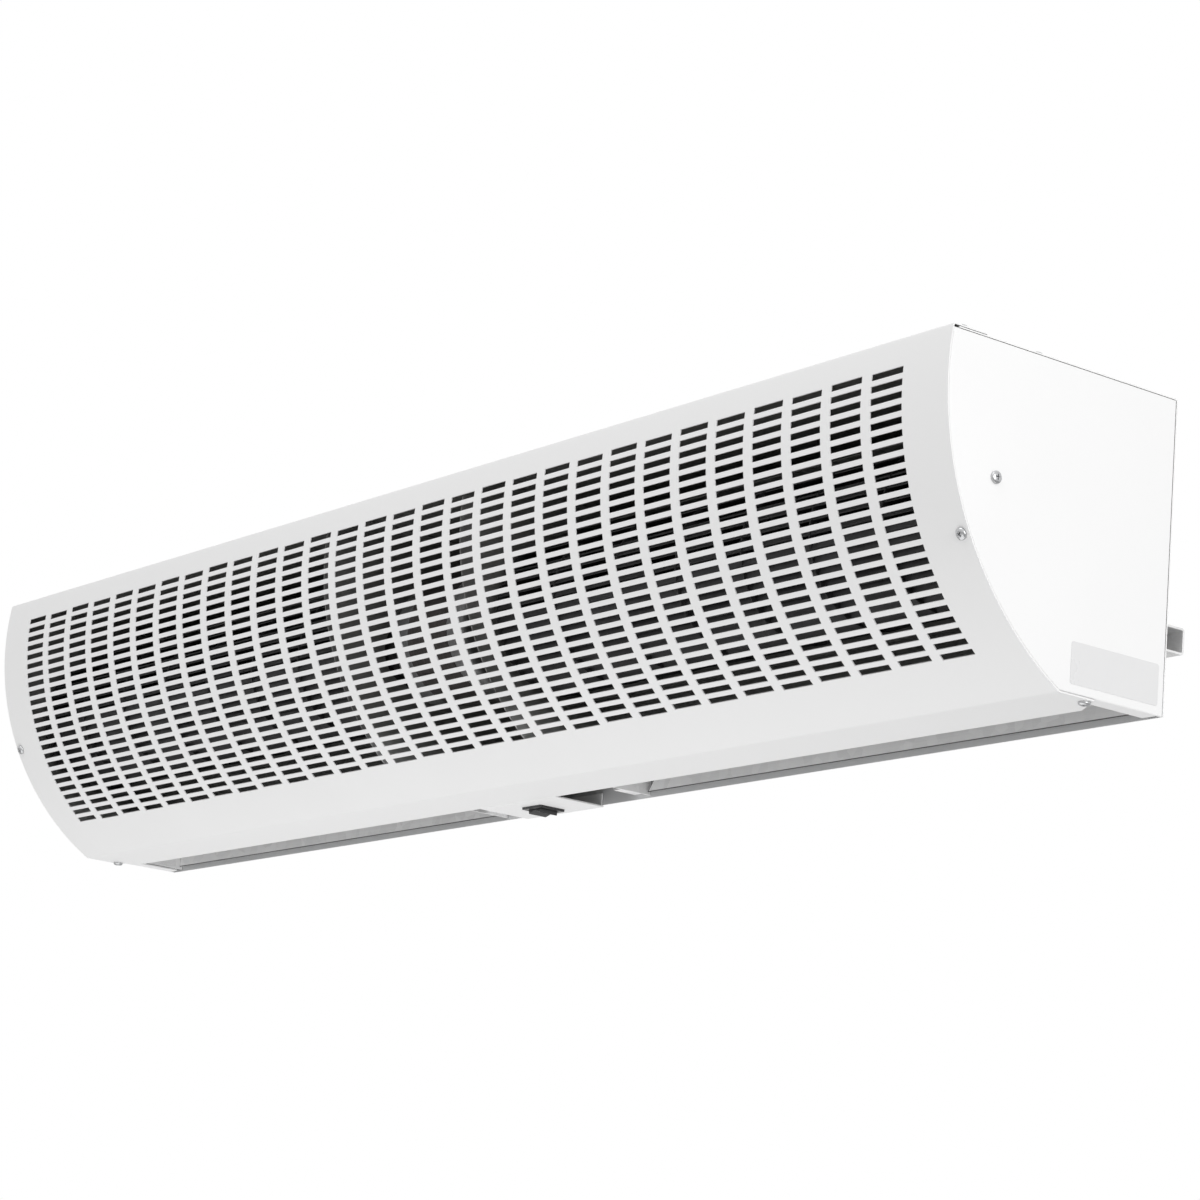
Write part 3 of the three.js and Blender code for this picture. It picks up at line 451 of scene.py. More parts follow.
def new_group(name, **inputs):
    """Empty effect group and its inputs: the place, and named values with what they are unless given."""
    tree = bpy.data.node_groups.new(name, "ShaderNodeTree")
    tree.interface.new_socket(name="Place", in_out="INPUT", socket_type="NodeSocketVector")
    for label, value in inputs.items():
        kind = "NodeSocketVector" if isinstance(value, tuple) else "NodeSocketFloat"
        socket = tree.interface.new_socket(name=label.replace("_", " "), in_out="INPUT", socket_type=kind)
        socket.default_value = value
    return tree, tree.nodes.new("NodeGroupInput").outputs


def put_out(tree, **results):
    """The group with its results as outputs."""
    for label in results:
        tree.interface.new_socket(name=label, in_out="OUTPUT", socket_type="NodeSocketFloat")
    add_node(tree, "NodeGroupOutput", results)
    return tree


def grain_group():
    """Fine grain of a coat, casting or moulding: a height, and a slow mottle for colour and gloss."""
    tree, given = new_group("surface_grain", Grain_Scale=900.0, Mottle_Scale=14.0)
    fine = noise(tree, {"Vector": given["Place"], "Scale": given["Grain Scale"]}, Detail=2.0, Roughness=0.55)
    slow = noise(tree, {"Vector": given["Place"], "Scale": given["Mottle Scale"]}, Detail=4.0, Roughness=0.6)
    return put_out(tree, Height=fine, Mottle=slow)


def dust_group():
    """Dust that settles where a surface faces up, in soft uneven patches."""
    tree, given = new_group("settled_dust", Amount=0.3)
    normal = add_node(tree, "ShaderNodeNewGeometry").outputs["Normal"]
    up = add_node(tree, "ShaderNodeSeparateXYZ", {"Vector": normal}).outputs["Z"]
    patches = noise(tree, {"Vector": given["Place"]}, Scale=22.0, Detail=5.0, Roughness=0.65)
    lying = combined(tree, "MULTIPLY", spread(tree, up, 0.35, 1.0), spread(tree, patches, 0.3, 0.75))
    return put_out(tree, Dust=combined(tree, "MULTIPLY", lying, given["Amount"]))


def wear_group():
    """Rubbed edges: high where the surface bulges, broken up by noise."""
    tree, given = new_group("edge_wear", Amount=0.5)
    bulge = add_node(tree, "ShaderNodeNewGeometry").outputs["Pointiness"]
    breakup = noise(tree, {"Vector": given["Place"]}, Scale=260.0, Detail=3.0, Roughness=0.6)
    rubbed = combined(tree, "MULTIPLY", spread(tree, bulge, 0.52, 0.62), breakup)
    return put_out(tree, Wear=combined(tree, "MULTIPLY", rubbed, given["Amount"]))


def lines_group():
    """Fine lines left by a tool or a rolling mill: noise squeezed across one direction."""
    tree, given = new_group("tool_lines", Squeeze=(4.0, 900.0, 900.0))
    sides = {0: given["Place"], 1: given["Squeeze"]}
    squeezed = add_node(tree, "ShaderNodeVectorMath", sides, operation="MULTIPLY").outputs[0]
    return put_out(tree, Lines=noise(tree, {"Vector": squeezed}, Scale=1.0, Detail=3.0, Roughness=0.6))


GRAIN = grain_group()
DUST = dust_group()
WEAR = wear_group()
LINES = lines_group()


class Finish:
    """Material under construction: one Principled shader and the effects that feed it."""

    def __init__(self, slot, look="look", **values):
        self.material = bpy.data.materials.new(f"{slot}_{look}")
        self.material["slot"] = slot
        self.material.use_nodes = True
        self.tree = self.material.node_tree
        self.shader = self.tree.nodes["Principled BSDF"]
        for label, value in values.items():
            self.shader.inputs[label.replace("_", " ")].default_value = value
        self.place = add_node(self.tree, "ShaderNodeTexCoord").outputs["Object"]

    def effect(self, group, **values):
        """Outputs of a shared effect placed in this material."""
        links = {"Place": self.place}
        return add_node(self.tree, "ShaderNodeGroup", links, node_tree=group, **values).outputs

    def parts(self, vector):
        """The x, y and z of a vector."""
        return add_node(self.tree, "ShaderNodeSeparateXYZ", {"Vector": vector}).outputs

    def blend(self, mask, low, high):
        """Colour that goes from low to high with a mask, where each is a colour or an output."""
        mix = add_node(self.tree, "ShaderNodeMix", {0: mask}, data_type="RGBA")
        for socket, colour in ((mix.inputs[6], low), (mix.inputs[7], high)):
            if isinstance(colour, tuple):
                socket.default_value = (*colour, 1)
            else:
                self.tree.links.new(colour, socket)
        return mix.outputs[2]

    def combined(self, operation, *sources):
        """Result of one calculation on values, in this material."""
        return combined(self.tree, operation, *sources)

    def spread(self, value, start, end, low=0.0, high=1.0):
        """A value spread over a range, in this material."""
        return spread(self.tree, value, start, end, low, high)

    def feed(self, socket, source):
        """Link an output into one of the shader's sockets."""
        self.tree.links.new(source, self.shader.inputs[socket])

    def bump(self, height, strength, distance):
        """Relief of a height, in metres, on the shader's normal."""
        links = {"Height": height}
        node = add_node(self.tree, "ShaderNodeBump", links, Strength=strength, Distance=distance)
        self.feed("Normal", node.outputs["Normal"])


def coated(slot, low, high, gloss, grain, relief, dust=None, wear=None, gloss_by="Mottle", **shader):
    """Finish with a mottle between two colours, settled dust and rubbed edges.

    gloss is the range of roughness, grain the scales of the grain and the mottle, relief the strength
    and depth of the grain, and dust and wear are each an amount and a colour. The finish keeps its
    colour, for what else may cover it.
    """
    finish = Finish(slot, **shader)
    surface = finish.effect(GRAIN, Grain_Scale=grain[0], Mottle_Scale=grain[1])
    finish.colour = finish.blend(surface["Mottle"], low, high)
    for group, name, laid in ((DUST, "Dust", dust), (WEAR, "Wear", wear)):
        if laid:
            mask = finish.effect(group, Amount=laid[0])[name]
            finish.colour = finish.blend(mask, finish.colour, laid[1])
    finish.feed("Base Color", finish.colour)
    finish.feed("Roughness", finish.spread(surface[gloss_by], 0.3, 0.7, *gloss))
    finish.bump(surface["Height"], *relief)
    return finish


def lined(slot, squeeze, low, high, gloss, grain, relief, **shader):
    """Finish with raised lines between two colours, and a mottled gloss."""
    finish = Finish(slot, **shader)
    lines = finish.effect(LINES, Squeeze=squeeze)["Lines"]
    mottle = finish.effect(GRAIN, Grain_Scale=grain[0], Mottle_Scale=grain[1])["Mottle"]
    finish.feed("Base Color", finish.blend(lines, low, high))
    finish.feed("Roughness", finish.spread(mottle, 0.3, 0.7, *gloss))
    finish.bump(lines, *relief)
    return finish


def painted_inside_shade(finish):
    """Mask of the painted shade inside, stronger the further up from the outlet."""
    low, high = ((TO_FRAME @ Vector((0, 0, z))).z for z in (SHADE_START_HEIGHT, SHADE_FULL_HEIGHT))
    return finish.spread(finish.parts(finish.place)["Z"], low, high, 0.0, 0.9)


def painted_lap_shadow(finish):
    """Mask of the painted shadow line along the scroll sheets' lower edge and slanted end, where they lap
    over the back.
    """
    place = finish.parts(finish.place)
    corner = TO_FRAME @ extent("scroll_sheet_right")[0]
    line = LAP_SHADOW_WIDTH * MM
    under = finish.spread(place["Z"], corner.z + line, corner.z + 2 * line, 1.0, 0.0)
    out, up = SCROLL_SLANT
    slant = finish.spread(place["Z"], corner.z, corner.z + up * MM, corner.x, corner.x + out * MM)
    past = finish.combined("SUBTRACT", finish.combined("ABSOLUTE", place["X"]), slant)
    return finish.combined("MAXIMUM", under, finish.spread(past, 2 * line, 3 * line, 1.0, 0.0))


def bare_inside(finish):
    """Mask of the inner faces of the back and the top, which the paint leaves bare."""
    facing = finish.parts(add_node(finish.tree, "ShaderNodeNewGeometry").outputs["Normal"])
    place = finish.parts(finish.place)
    inner = TO_FRAME @ Vector((0, -(SHEET + SEAT), CASE_TOP - SHEET - SEAT))
    masks = []
    for axis, start in (("Y", inner.y), ("Z", inner.z)):
        inward = finish.spread(facing[axis], -0.95, -0.8, 1.0, 0.0)
        beyond = finish.spread(place[axis], start - 0.1 * MM, start)
        masks.append(finish.combined("MULTIPLY", inward, beyond))
    return finish.combined("MAXIMUM", *masks)


def casing_paint():
    """White powder coat: faint orange peel, a slow mottle, and a breath of dust on top. Bare zinc inside,
    darkened higher up as painted shade.
    """
    finish = coated(
        "casing_paint", (0.805,) * 3, (0.825,) * 3, gloss=(0.36, 0.48), grain=(850.0, 9.0),
        relief=(0.12, 0.0002), dust=(0.22, (0.7, 0.69, 0.67)), IOR=1.5,
    )
    bare = bare_inside(finish)
    # Painted shade: the bare inside darkens towards the top of the casing.
    zinc = finish.blend(painted_inside_shade(finish), (0.6, 0.605, 0.61), PAINTED_SHADE_COLOUR)
    finish.feed("Base Color", finish.blend(bare, finish.colour, zinc))
    finish.feed("Metallic", finish.spread(bare, 0.0, 1.0, 0.0, 0.25))
    return finish


def zinc_sheet(look, inside_painted_light, lap_shadowed=False):
    """Zinc-coated sheet: flakes of slightly different grey under faint rolling lines. The sheets inside get
    a painted lift and painted shade, and the scroll sheets a painted shadow line.
    """
    # For the sheets inside the base colour is lifted by 0.13: painted light that brightens sheets sitting in
    # the casing's shade.
    pale = 0.13 if inside_painted_light else 0.0
    finish = Finish("zinc_sheet", look, Metallic=0.1 if inside_painted_light else 0.25)
    links = {"Vector": finish.place}
    flakes = add_node(finish.tree, "ShaderNodeTexVoronoi", links, Scale=110.0, Randomness=1.0)
    tone = finish.parts(flakes.outputs["Color"])
    lines = finish.effect(LINES, Squeeze=(5.0, 700.0, 700.0))["Lines"]
    mottle = finish.effect(GRAIN, Grain_Scale=500.0, Mottle_Scale=18.0)["Mottle"]
    streak = (0.8 + pale, 0.805 + pale, 0.81 + pale)
    colour = finish.blend(tone["X"], (0.66 + pale,) * 3, (0.76 + pale,) * 3)
    colour = finish.blend(finish.spread(lines, 0.45, 0.75, 0.0, 0.35), colour, streak)
    if inside_painted_light:
        # Painted shade: darker the higher the sheet stands above the outlet.
        colour = finish.blend(painted_inside_shade(finish), colour, PAINTED_SHADE_COLOUR)
    if lap_shadowed:
        # Painted shadow: a near-black line along the lap.
        colour = finish.blend(painted_lap_shadow(finish), colour, (0.05,) * 3)
    finish.feed("Base Color", colour)
    finish.feed("Roughness", finish.spread(tone["Y"], 0.0, 1.0, 0.34, 0.5))
    finish.bump(mottle, 0.1, 0.0004)
    return finish


def screw_steel():
    """Zinc-plated screws: bright, with rubbed edges and a faint blue cast."""
    return coated(
        "screw_steel", (0.43, 0.435, 0.445), (0.56, 0.565, 0.57), gloss=(0.22, 0.38), grain=(1500.0, 120.0),
        relief=(0.08, 0.0001), wear=(0.9, (0.74, 0.74, 0.73)), Metallic=1.0,
    )


def shaft_steel():
    """Ground steel: fine rings round the axis and a thin film of oil."""
    return lined(
        "shaft_steel", (1600.0, 30.0, 30.0), (0.50, 0.50, 0.51), (0.66, 0.66, 0.665), gloss=(0.2, 0.36),
        grain=(600.0, 40.0), relief=(0.12, 0.0001), Metallic=1.0,
    )


def wheel_black():
    """Stoved black paint of the fan wheels, a little dusty and rubbed on the blade edges."""
    return coated(
        "wheel_black", (0.026, 0.026, 0.027), (0.042, 0.042, 0.044), gloss=(0.32, 0.5), grain=(700.0, 25.0),
        relief=(0.15, 0.0002), dust=(0.25, (0.16, 0.155, 0.15)), wear=(0.25, (0.12, 0.12, 0.125)), IOR=1.5,
    )


def rubber_black():
    """Moulded rubber: matt, slightly grey, with a soft grain."""
    return coated(
        "rubber_black", (0.02,) * 3, (0.038, 0.037, 0.036), gloss=(0.68, 0.86), grain=(1100.0, 60.0),
        relief=(0.35, 0.0002), dust=(0.35, (0.2, 0.19, 0.18)), IOR=1.52,
    )


def motor_aluminium():
    """Die-cast aluminium: matt with a sandy grain and brighter rubbed edges."""
    # Its colours, 0.2 to 0.28, are far darker than bare aluminium, so that the motor reads as dark as the
    # shaded bay round it: painted shade.
    return coated(
        "motor_aluminium", (0.2,) * 3, (0.28,) * 3, gloss=(0.42, 0.62), grain=(420.0, 35.0),
        relief=(0.4, 0.0003), wear=(0.8, (0.5,) * 3), gloss_by="Height", Metallic=1.0,
    )


def stator_iron():
    """Edges of the varnished plates of the stator: thin dark and lighter rings side by side."""
    return lined(
        "stator_iron", (2000.0, 3.0, 3.0), (0.035, 0.03, 0.028), (0.13, 0.12, 0.115), gloss=(0.4, 0.6),
        grain=(300.0, 30.0), relief=(0.5, 0.0003), Metallic=0.7,
    )


def switch_black():
    """Moulded black plastic of the rocker switch: half gloss, fine texture, paler rubbed edges."""
    return coated(
        "switch_black", (0.01, 0.01, 0.011), (0.02, 0.02, 0.021), gloss=(0.24, 0.38), grain=(2400.0, 90.0),
        relief=(0.12, 0.0001), wear=(0.35, (0.09, 0.09, 0.092)), IOR=1.49,
    )


def terminal_brass():
    """Stamped brass: warm, with darker tarnish in patches."""
    return coated(
        "terminal_brass", (0.44, 0.33, 0.15), (0.72, 0.57, 0.28), gloss=(0.22, 0.42), grain=(900.0, 150.0),
        relief=(0.08, 0.0001), Metallic=1.0,
    )


def grey_plastic():
    """Light grey moulding of the capacitor and the terminal block."""
    return coated(
        "grey_plastic", (0.47, 0.47, 0.455), (0.55, 0.55, 0.53), gloss=(0.42, 0.58), grain=(1300.0, 45.0),
        relief=(0.2, 0.0001), dust=(0.4, (0.4, 0.39, 0.36)), IOR=1.5,
    )


def label_film():
    """Blank pale grey film, smoother than the paint that it sticks to."""
    return coated(
        "label_film", (0.68, 0.68, 0.683), (0.71, 0.71, 0.713), gloss=(0.26, 0.36), grain=(2600.0, 40.0),
        relief=(0.06, 0.0001), IOR=1.46,
    )


PAINT = casing_paint().material
ZINC = zinc_sheet("clean", False).material
# Zinc for the sheets inside: base lifted as painted light, darkened higher up as painted shade.
INSIDE_ZINC_PAINTED_LIGHT = zinc_sheet("inside_painted_light", True).material
# The same, with a painted shadow line along the scroll sheets' lapped edges.
INSIDE_ZINC_LAP_SHADOW = zinc_sheet("lap_shadowed", True, True).material
SCREW = screw_steel().material
STEEL = shaft_steel().material
WHEEL = wheel_black().material
RUBBER = rubber_black().material
ALUMINIUM = motor_aluminium().material
IRON = stator_iron().material
PLASTIC = switch_black().material
BRASS = terminal_brass().material
GREY = grey_plastic().material
FILM = label_film().material


# ---- Casing ------------------------------------------------------------------------------


def panel_stations():
    """Stops down the panel's outer face, as (y, z, outward direction, row edge).

    The row edge is None, or (row, 0) at a row's upper edge and (row, 1) at its lower one.
    """
    up = Vector((0, 1))
    top_y = arc_point(ARC_TOP)[0]
    outline = [(top_y + TOP_LAP, HEIGHT), arc_point(ARC_TOP), arc_point(ARC_TOP - 0.03)]
    stops = []
    for point in rounded(outline, BEND)[:-1]:
        share = min(1.0, max(0.0, (top_y + BEND - point.x) / BEND))
        side = Vector((-math.cos(ARC_TOP), math.sin(ARC_TOP)))
        stops.append((point.x, point.y, up.lerp(side, share).normalized(), None))
    first = ARC_TOP - (FIRST_ROW - SLOT_HEIGHT / 2) / FRONT_RADIUS
    angles = [(ARC_TOP - (ARC_TOP - first) * k / 5, None) for k in range(2, 5)]
    for row in range(SLOT_ROWS):
        middle = ARC_TOP - (FIRST_ROW + row * ROW_PITCH) / FRONT_RADIUS
        reach = SLOT_HEIGHT / 2 / FRONT_RADIUS
        angles += [(middle + reach, (row, 0)), (middle - reach, (row, 1))]
    last = angles[-1][0]
    angles += [(last + (ARC_BOTTOM - last) * k / 8, None) for k in range(1, 8)]
    for angle, row in angles:
        y, z = arc_point(angle)
        stops.append((y, z, Vector((-math.cos(angle), math.sin(angle))), row))
    down = Vector((0, -1))
    outline = [arc_point(ARC_BOTTOM + 0.03), arc_point(ARC_BOTTOM), (-OUTLET_DEPTH, 0)]
    side = Vector((-math.cos(ARC_BOTTOM), math.sin(ARC_BOTTOM)))
    bend = rounded(outline, 2 * BEND)[1:]
    for i, point in enumerate(bend):
        share = min(1.0, i / (len(bend) - 2))
        stops.append((point.x, point.y, side.lerp(down, share).normalized(), None))
    return stops


def front_panel():
    """One rolled sheet, 720 slots, with a flange over the top and one under the outlet's edge."""
    stops = panel_stations()
    edges = [-HALF, -HALF + CORNER_CUT[0]]
    for column in range(SLOT_COLUMNS):
        middle = (column - (SLOT_COLUMNS - 1) / 2) * COLUMN_PITCH
        edges += [middle - SLOT_LENGTH / 2, middle + SLOT_LENGTH / 2]
    edges += [HALF - CORNER_CUT[0], HALF]
    bm = bmesh.new()
    skins = []
    for depth in (0.0, SHEET):
        grid = []
        for i, x in enumerate(edges):
            column = (i - 2) // 2
            raised = column % 2 == 0 and 0 <= column < SLOT_COLUMNS
            rank = []
            for y, z, out, row in stops:
                if row is not None and raised:
                    angle = math.asin((z - ARC_Z) / FRONT_RADIUS) + COLUMN_STAGGER / FRONT_RADIUS
                    y, z = arc_point(angle)
                    out = Vector((-math.cos(angle), math.sin(angle)))
                if (y, z) == tuple(stops[-1][:2]) and i in (0, len(edges) - 1):
                    y -= CORNER_CUT[1]
                rank.append(bm.verts.new((x, y - out.x * depth, z - out.y * depth)))
            grid.append(rank)
        skins.append(grid)
    outer, inner = skins
    columns, rows = len(edges) - 1, len(stops) - 1

    def is_slot(i, j):
        """Whether the cell right of edge i and below stop j is a slot."""
        row = stops[j][3]
        return 2 <= i < 2 + 2 * SLOT_COLUMNS and i % 2 == 0 and row is not None and row[1] == 0

    for i in range(columns):
        for j in range(rows):
            a = [(i, j), (i + 1, j), (i + 1, j + 1), (i, j + 1)]
            if not is_slot(i, j):
                bm.faces.new([outer[p][q] for p, q in a])
                bm.faces.new([inner[p][q] for p, q in reversed(a)])
                continue
            for (p, q), (r, s) in zip(a, a[1:] + a[:1]):
                bm.faces.new((outer[p][q], outer[r][s], inner[r][s], inner[p][q]))
    rim = [(i, 0) for i in range(columns)] + [(columns, j) for j in range(rows)]
    rim += [(i, rows) for i in range(columns, 0, -1)] + [(0, j) for j in range(rows, 0, -1)]
    for (p, q), (r, s) in zip(rim, rim[1:] + rim[:1]):
        bm.faces.new((outer[r][s], outer[p][q], inner[p][q], inner[r][s]))
    return piece("front_panel", bm, PAINT, edge=0.16, smooth=40)


def rear_casing():
    """Top and back in one bent sheet, with the cable's hole."""
    front = extent("rear_casing")[0].y
    sheet = folded([(0, CASE_BOTTOM), (0, CASE_TOP), (front, CASE_TOP)], SHEET, -HALF, HALF)
    middle = span("cable_grommet")[2]
    hole = peg(-4, 4, GROMMET_HOLE, at=(middle.x, 0, middle.z), out=(0, 1, 0))
    return piece("rear_casing", carved(sheet, [hole]), PAINT, edge=0.2)


def plate_outline(inset):
    """Closed outline (y, z) of an end plate, `inset` inside its outside."""
    gap = SHEET + TOUCH + inset
    top, bottom = CASE_TOP - gap, CASE_BOTTOM + inset
    return [*front_curve(gap, top, bottom), (-gap, bottom), (-gap, top)]


def end_plate(side, name):
    """Flat end with a narrow flange turned inwards all round, cut away at the corners."""
    bm = bmesh.new()
    steps = 5
    quarter = [(math.pi / 2) * k / steps for k in range(steps + 1)]
    skin = [(END_BEND * (1 - math.sin(a)), HALF - END_BEND * (1 - math.cos(a))) for a in quarter]
    skin += [(0, HALF - END_FLANGE), (PLATE, HALF - END_FLANGE), (PLATE, HALF - PLATE)]
    loops = [[bm.verts.new((side * x, y, z)) for y, z in plate_outline(inset)] for inset, x in skin]
    bm.faces.new(loops[0])
    bm.faces.new(reversed(loops[-1]))
    for first, second in zip(loops, loops[1:]):
        for i in range(len(first)):
            j = (i + 1) % len(first)
            bm.faces.new((first[i], first[j], second[j], second[i]))
    near, far = sided(side, HALF - END_FLANGE - 3, HALF - PLATE - 0.4)
    outline = plate_outline(0)
    tools = []
    for y, z in (outline[i] for i in (0, -3, -2, -1)):
        low, high = (near, y - CORNER_RELIEF, z - CORNER_RELIEF), (far, y + CORNER_RELIEF, z + CORNER_RELIEF)
        tools.append(block(low, high))
    return piece(f"end_plate_{name}", carved(bm, tools), PAINT, edge=0.2)


def rating_label():
    """Blank film with rounded corners on the right end."""
    low, high = extent("rating_label")
    middle = ((low.y + high.y) / 2, (low.z + high.z) / 2)
    film = rounded_box(middle, (high.y - low.y, high.z - low.z), 2.0, low.x, high.x, "x")
    return piece("rating_label", film, FILM, edge=0.05)


def cable_grommet():
    """Rubber ring in the back, with round lips on both sides of the sheet."""
    low, high, middle = span("cable_grommet")
    lip, bore, end, slit = (high.z - low.z) / 2, 4.5, (high.y - low.y) / 2, SHEET / 2 + SEAT
    half = [
        (end - 0.8, bore), (end, bore + 0.8), (end, lip - 1.2), (end - 0.5, lip - 0.35), (end - 1.2, lip),
        (slit, lip), (slit, GROMMET_HOLE - 0.2),
    ]
    grommet = ring(middle.y, half, 48, at=(middle.x, 0, middle.z), out=(0, 1, 0))
    return piece("cable_grommet", grommet, RUBBER, smooth=50)


# ---- Screws ------------------------------------------------------------------------------


def cross_recess():
    """Tapered cross that the driver fits, opening at the top of a head of height HEAD_H."""
    long, wide, top, bottom = 2.1, 0.42, HEAD_H + 0.2, HEAD_H - 1.35
    arms = []
    for turn in (0, math.pi / 2):
        bm = bmesh.new()
        rims = []
        for along, reach, width in ((bottom, long * 0.35, wide * 0.6), (top, long, wide)):
            signs = ((-1, -1), (1, -1), (1, 1), (-1, 1))
            rims.append([bm.verts.new((along, y * reach, z * width)) for y, z in signs])
        low, high = rims
        bm.faces.new(low)
        bm.faces.new(reversed(high))
        for i in range(4):
            j = (i + 1) % 4
            bm.faces.new((low[j], low[i], high[i], high[j]))
        bm.transform(Matrix.Rotation(turn, 4, "X"))
        arms.append(bm)
    return arms


def pan_head_screw(length):
    """Pan-head screw along x with its seat at x = 0, in millimetres."""
    pitch = 0.7
    profile = [(HEAD_H, 0), (HEAD_H, HEAD_R * 0.35)]
    profile += [
        (HEAD_H * (0.3 + 0.7 * math.cos(t)), HEAD_R * (0.35 + 0.65 * math.sin(t)))
        for t in (math.radians(d) for d in range(12, 91, 13))
    ]
    profile += [(HEAD_H * 0.12, HEAD_R), (0.0, HEAD_R * 0.97), (0.0, SHANK_R)]
    turns = int((length - 1) / pitch)
    for i in range(turns):
        profile += [(-(i + 0.25) * pitch, SHANK_R), (-(i + 0.75) * pitch, SHANK_R - 0.32)]
    profile += [(-length + 0.8, SHANK_R - 0.2), (-length, SHANK_R * 0.55), (-length, 0)]
    body = turned(profile, 40, at=(0, 0, 0))
    return carved(body, cross_recess())


def screws():
    """Every visible screw, seated where its node is."""
    front = Vector((0, -math.cos(FRONT_SCREW_ANGLE), math.sin(FRONT_SCREW_ANGLE)))
    kinds = [
        ("panel_front_screw", front, 6), ("panel_bottom_screw", Vector((0, 0, -1)), 6),
        ("panel_top_screw", Vector((0, 0, 1)), 6), ("casing_top_screw", Vector((0, 0, 1)), 6),
        ("end_plate_screw", None, 17), ("motor_strap_screw", Vector((0, -1, 0)), 5.9),
    ]
    spin = 0.35
    for kind, out, length in kinds:
        for side, name in SIDES:
            low, high, middle = span(f"{kind}_{name}")
            facing = Vector((side, 0, 0)) if out is None else out
            if kind == "panel_front_screw":
                y, z = arc_point(FRONT_SCREW_ANGLE)
                seat = Vector((middle.x, y, z))
            else:
                reach = max(abs((high - middle).dot(facing)), abs((low - middle).dot(facing)))
                seat = middle + facing * (reach - HEAD_H)
            bm = pan_head_screw(length)
            turn = Vector((1, 0, 0)).rotation_difference(facing).to_matrix().to_4x4()
            bm.transform(Matrix.Translation(seat) @ turn @ Matrix.Rotation(spin, 4, "X"))
            spin += 0.83
            piece(f"{kind}_{name}", bm, SCREW, smooth=42)


# ---- Air path ----------------------------------------------------------------------------


def cross_wall(node, side, hole):
    """Wall across the inside with a flange along its top, cut out round the shaft."""
    low, high = extent(node)
    gap = SHEET + PLATE + 2 * SEAT
    face = abs(high.x if side > 0 else low.x)
    top, bottom, back = high.z, CASE_BOTTOM + PLATE + SEAT, -(SHEET + SEAT)
    outline = [*front_curve(gap, top, bottom), (back, bottom), (back, top)]
    wall = prism(outline, *sided(side, face - SHEET, face))
    path = [(face - 0.2, top - 6), (face - 0.2, top), (face - WALL_FLANGE, top)]
    flange = folded(path, SHEET, -WALL_TOP_REACH, back, "y", WALL_BEND)
    if side < 0:
        flange = mirrored(flange)
    bore = peg(-3, 3, hole, at=(side * (face - SHEET / 2), AXIS.y, AXIS.z))
    return carved(wall, [bore]), flange


def bearing_wall(side, name):
    """Wall at a wheel's outer end, which carries its bush and bearing."""
    node = f"bearing_wall_{name}"
    return piece(node, joined(*cross_wall(node, side, BUSH_HOLE)), INSIDE_ZINC_PAINTED_LIGHT, edge=0.15)


def partition(side, name):
    """Wall of the motor bay, with a flange down the back and a foot beside the switch plate."""
    node = f"partition_{name}"
    low, high = extent(node)
    wall, flange = cross_wall(node, side, SHAFT_HOLE)
    near, face = sorted((abs(low.x), abs(high.x)))
    back = -(SHEET + SEAT)
    path = [(face - 0.2, back - 6), (face - 0.2, back), (face - WALL_FLANGE, back)]
    rear = folded(path, SHEET, FOOT_RISE, high.z, "z", WALL_BEND)
    path = [(near, FOOT_RISE + FOOT_LIP), (near, FOOT_RISE), (face - 0.2, FOOT_RISE)]
    foot = folded(path, SHEET, -FOOT_DEPTH, back, "y", WALL_BEND)
    if side < 0:
        rear, foot = mirrored(rear), mirrored(foot)
    return piece(node, joined(wall, flange, rear, foot), INSIDE_ZINC_PAINTED_LIGHT, edge=0.15)


def scroll_sheet(side, name):
    """Rear guide: a spiral from the top of the wheel that runs down the back of the casing."""
    low, high = extent(f"scroll_sheet_{name}")
    radius = half_size("impeller_left")[2]
    start_gap, stand = 5.0, high.y - SHEET
    reach = stand - AXIS.y - radius
    steps = 26
    path = []
    for i in range(steps + 1):
        share = i / steps
        angle = math.radians(100 * (1 - share))
        r = radius + start_gap + (reach - start_gap) * share
        path.append((AXIS.y + r * math.cos(angle), AXIS.z + r * math.sin(angle)))
    path.append((stand, low.z))
    sheet = folded(path, SHEET, low.x, high.x)
    near = min(abs(low.x), abs(high.x))
    out, up = SCROLL_SLANT
    outline = [(near, low.z), (near + out, low.z + up), (near + out, high.z + 1), (near - 1, high.z + 1)]
    outline.append((near - 1, low.z))
    spare = prism([(side * x, z) for x, z in outline], low.y - 1, high.y + 1, "y")
    return piece(f"scroll_sheet_{name}", carved(sheet, [spare]), INSIDE_ZINC_LAP_SHADOW, edge=0.15)


def outlet_tongue(name):
    """Front guide: a foot on the panel's flange, a rise, and a lip that hugs the wheel from below."""
    low, high = extent(f"outlet_tongue_{name}")
    rise = -OUTLET_DEPTH - SEAT - SHEET
    foot, tall, wheel_gap = 14, 40, 6
    hug = half_size("impeller_left")[2] + wheel_gap
    lip = circle((AXIS.y, AXIS.z), hug, 12, math.radians(-48), math.radians(-84))
    path = [(rise - foot, low.z), (rise, low.z), (rise, low.z + tall), *lip]
    return piece(f"outlet_tongue_{name}", folded(path, SHEET, low.x, high.x, bend=1.8), INSIDE_ZINC_PAINTED_LIGHT, edge=0.15)


# ---- Wheels and bearings -----------------------------------------------------------------


def half_size(node):
    """Both ends of a round node along the axis, and its radius."""
    low, high = extent(node)
    return low.x, high.x, max(high.y - low.y, high.z - low.z) / 2


def blade(turn, start, end, radius):
    """Thin curved blade along the wheel."""
    tip = radius - 0.4
    root = tip - BLADE_DEPTH
    path = []
    for k in range(7):
        share = k / 6
        r = root + (tip - root) * share
        angle = turn + BLADE_CURVE * share ** 1.6
        path.append((AXIS.y + r * math.cos(angle), AXIS.z + r * math.sin(angle)))
    return folded(path, BLADE_T, start, end, bend=0.1)


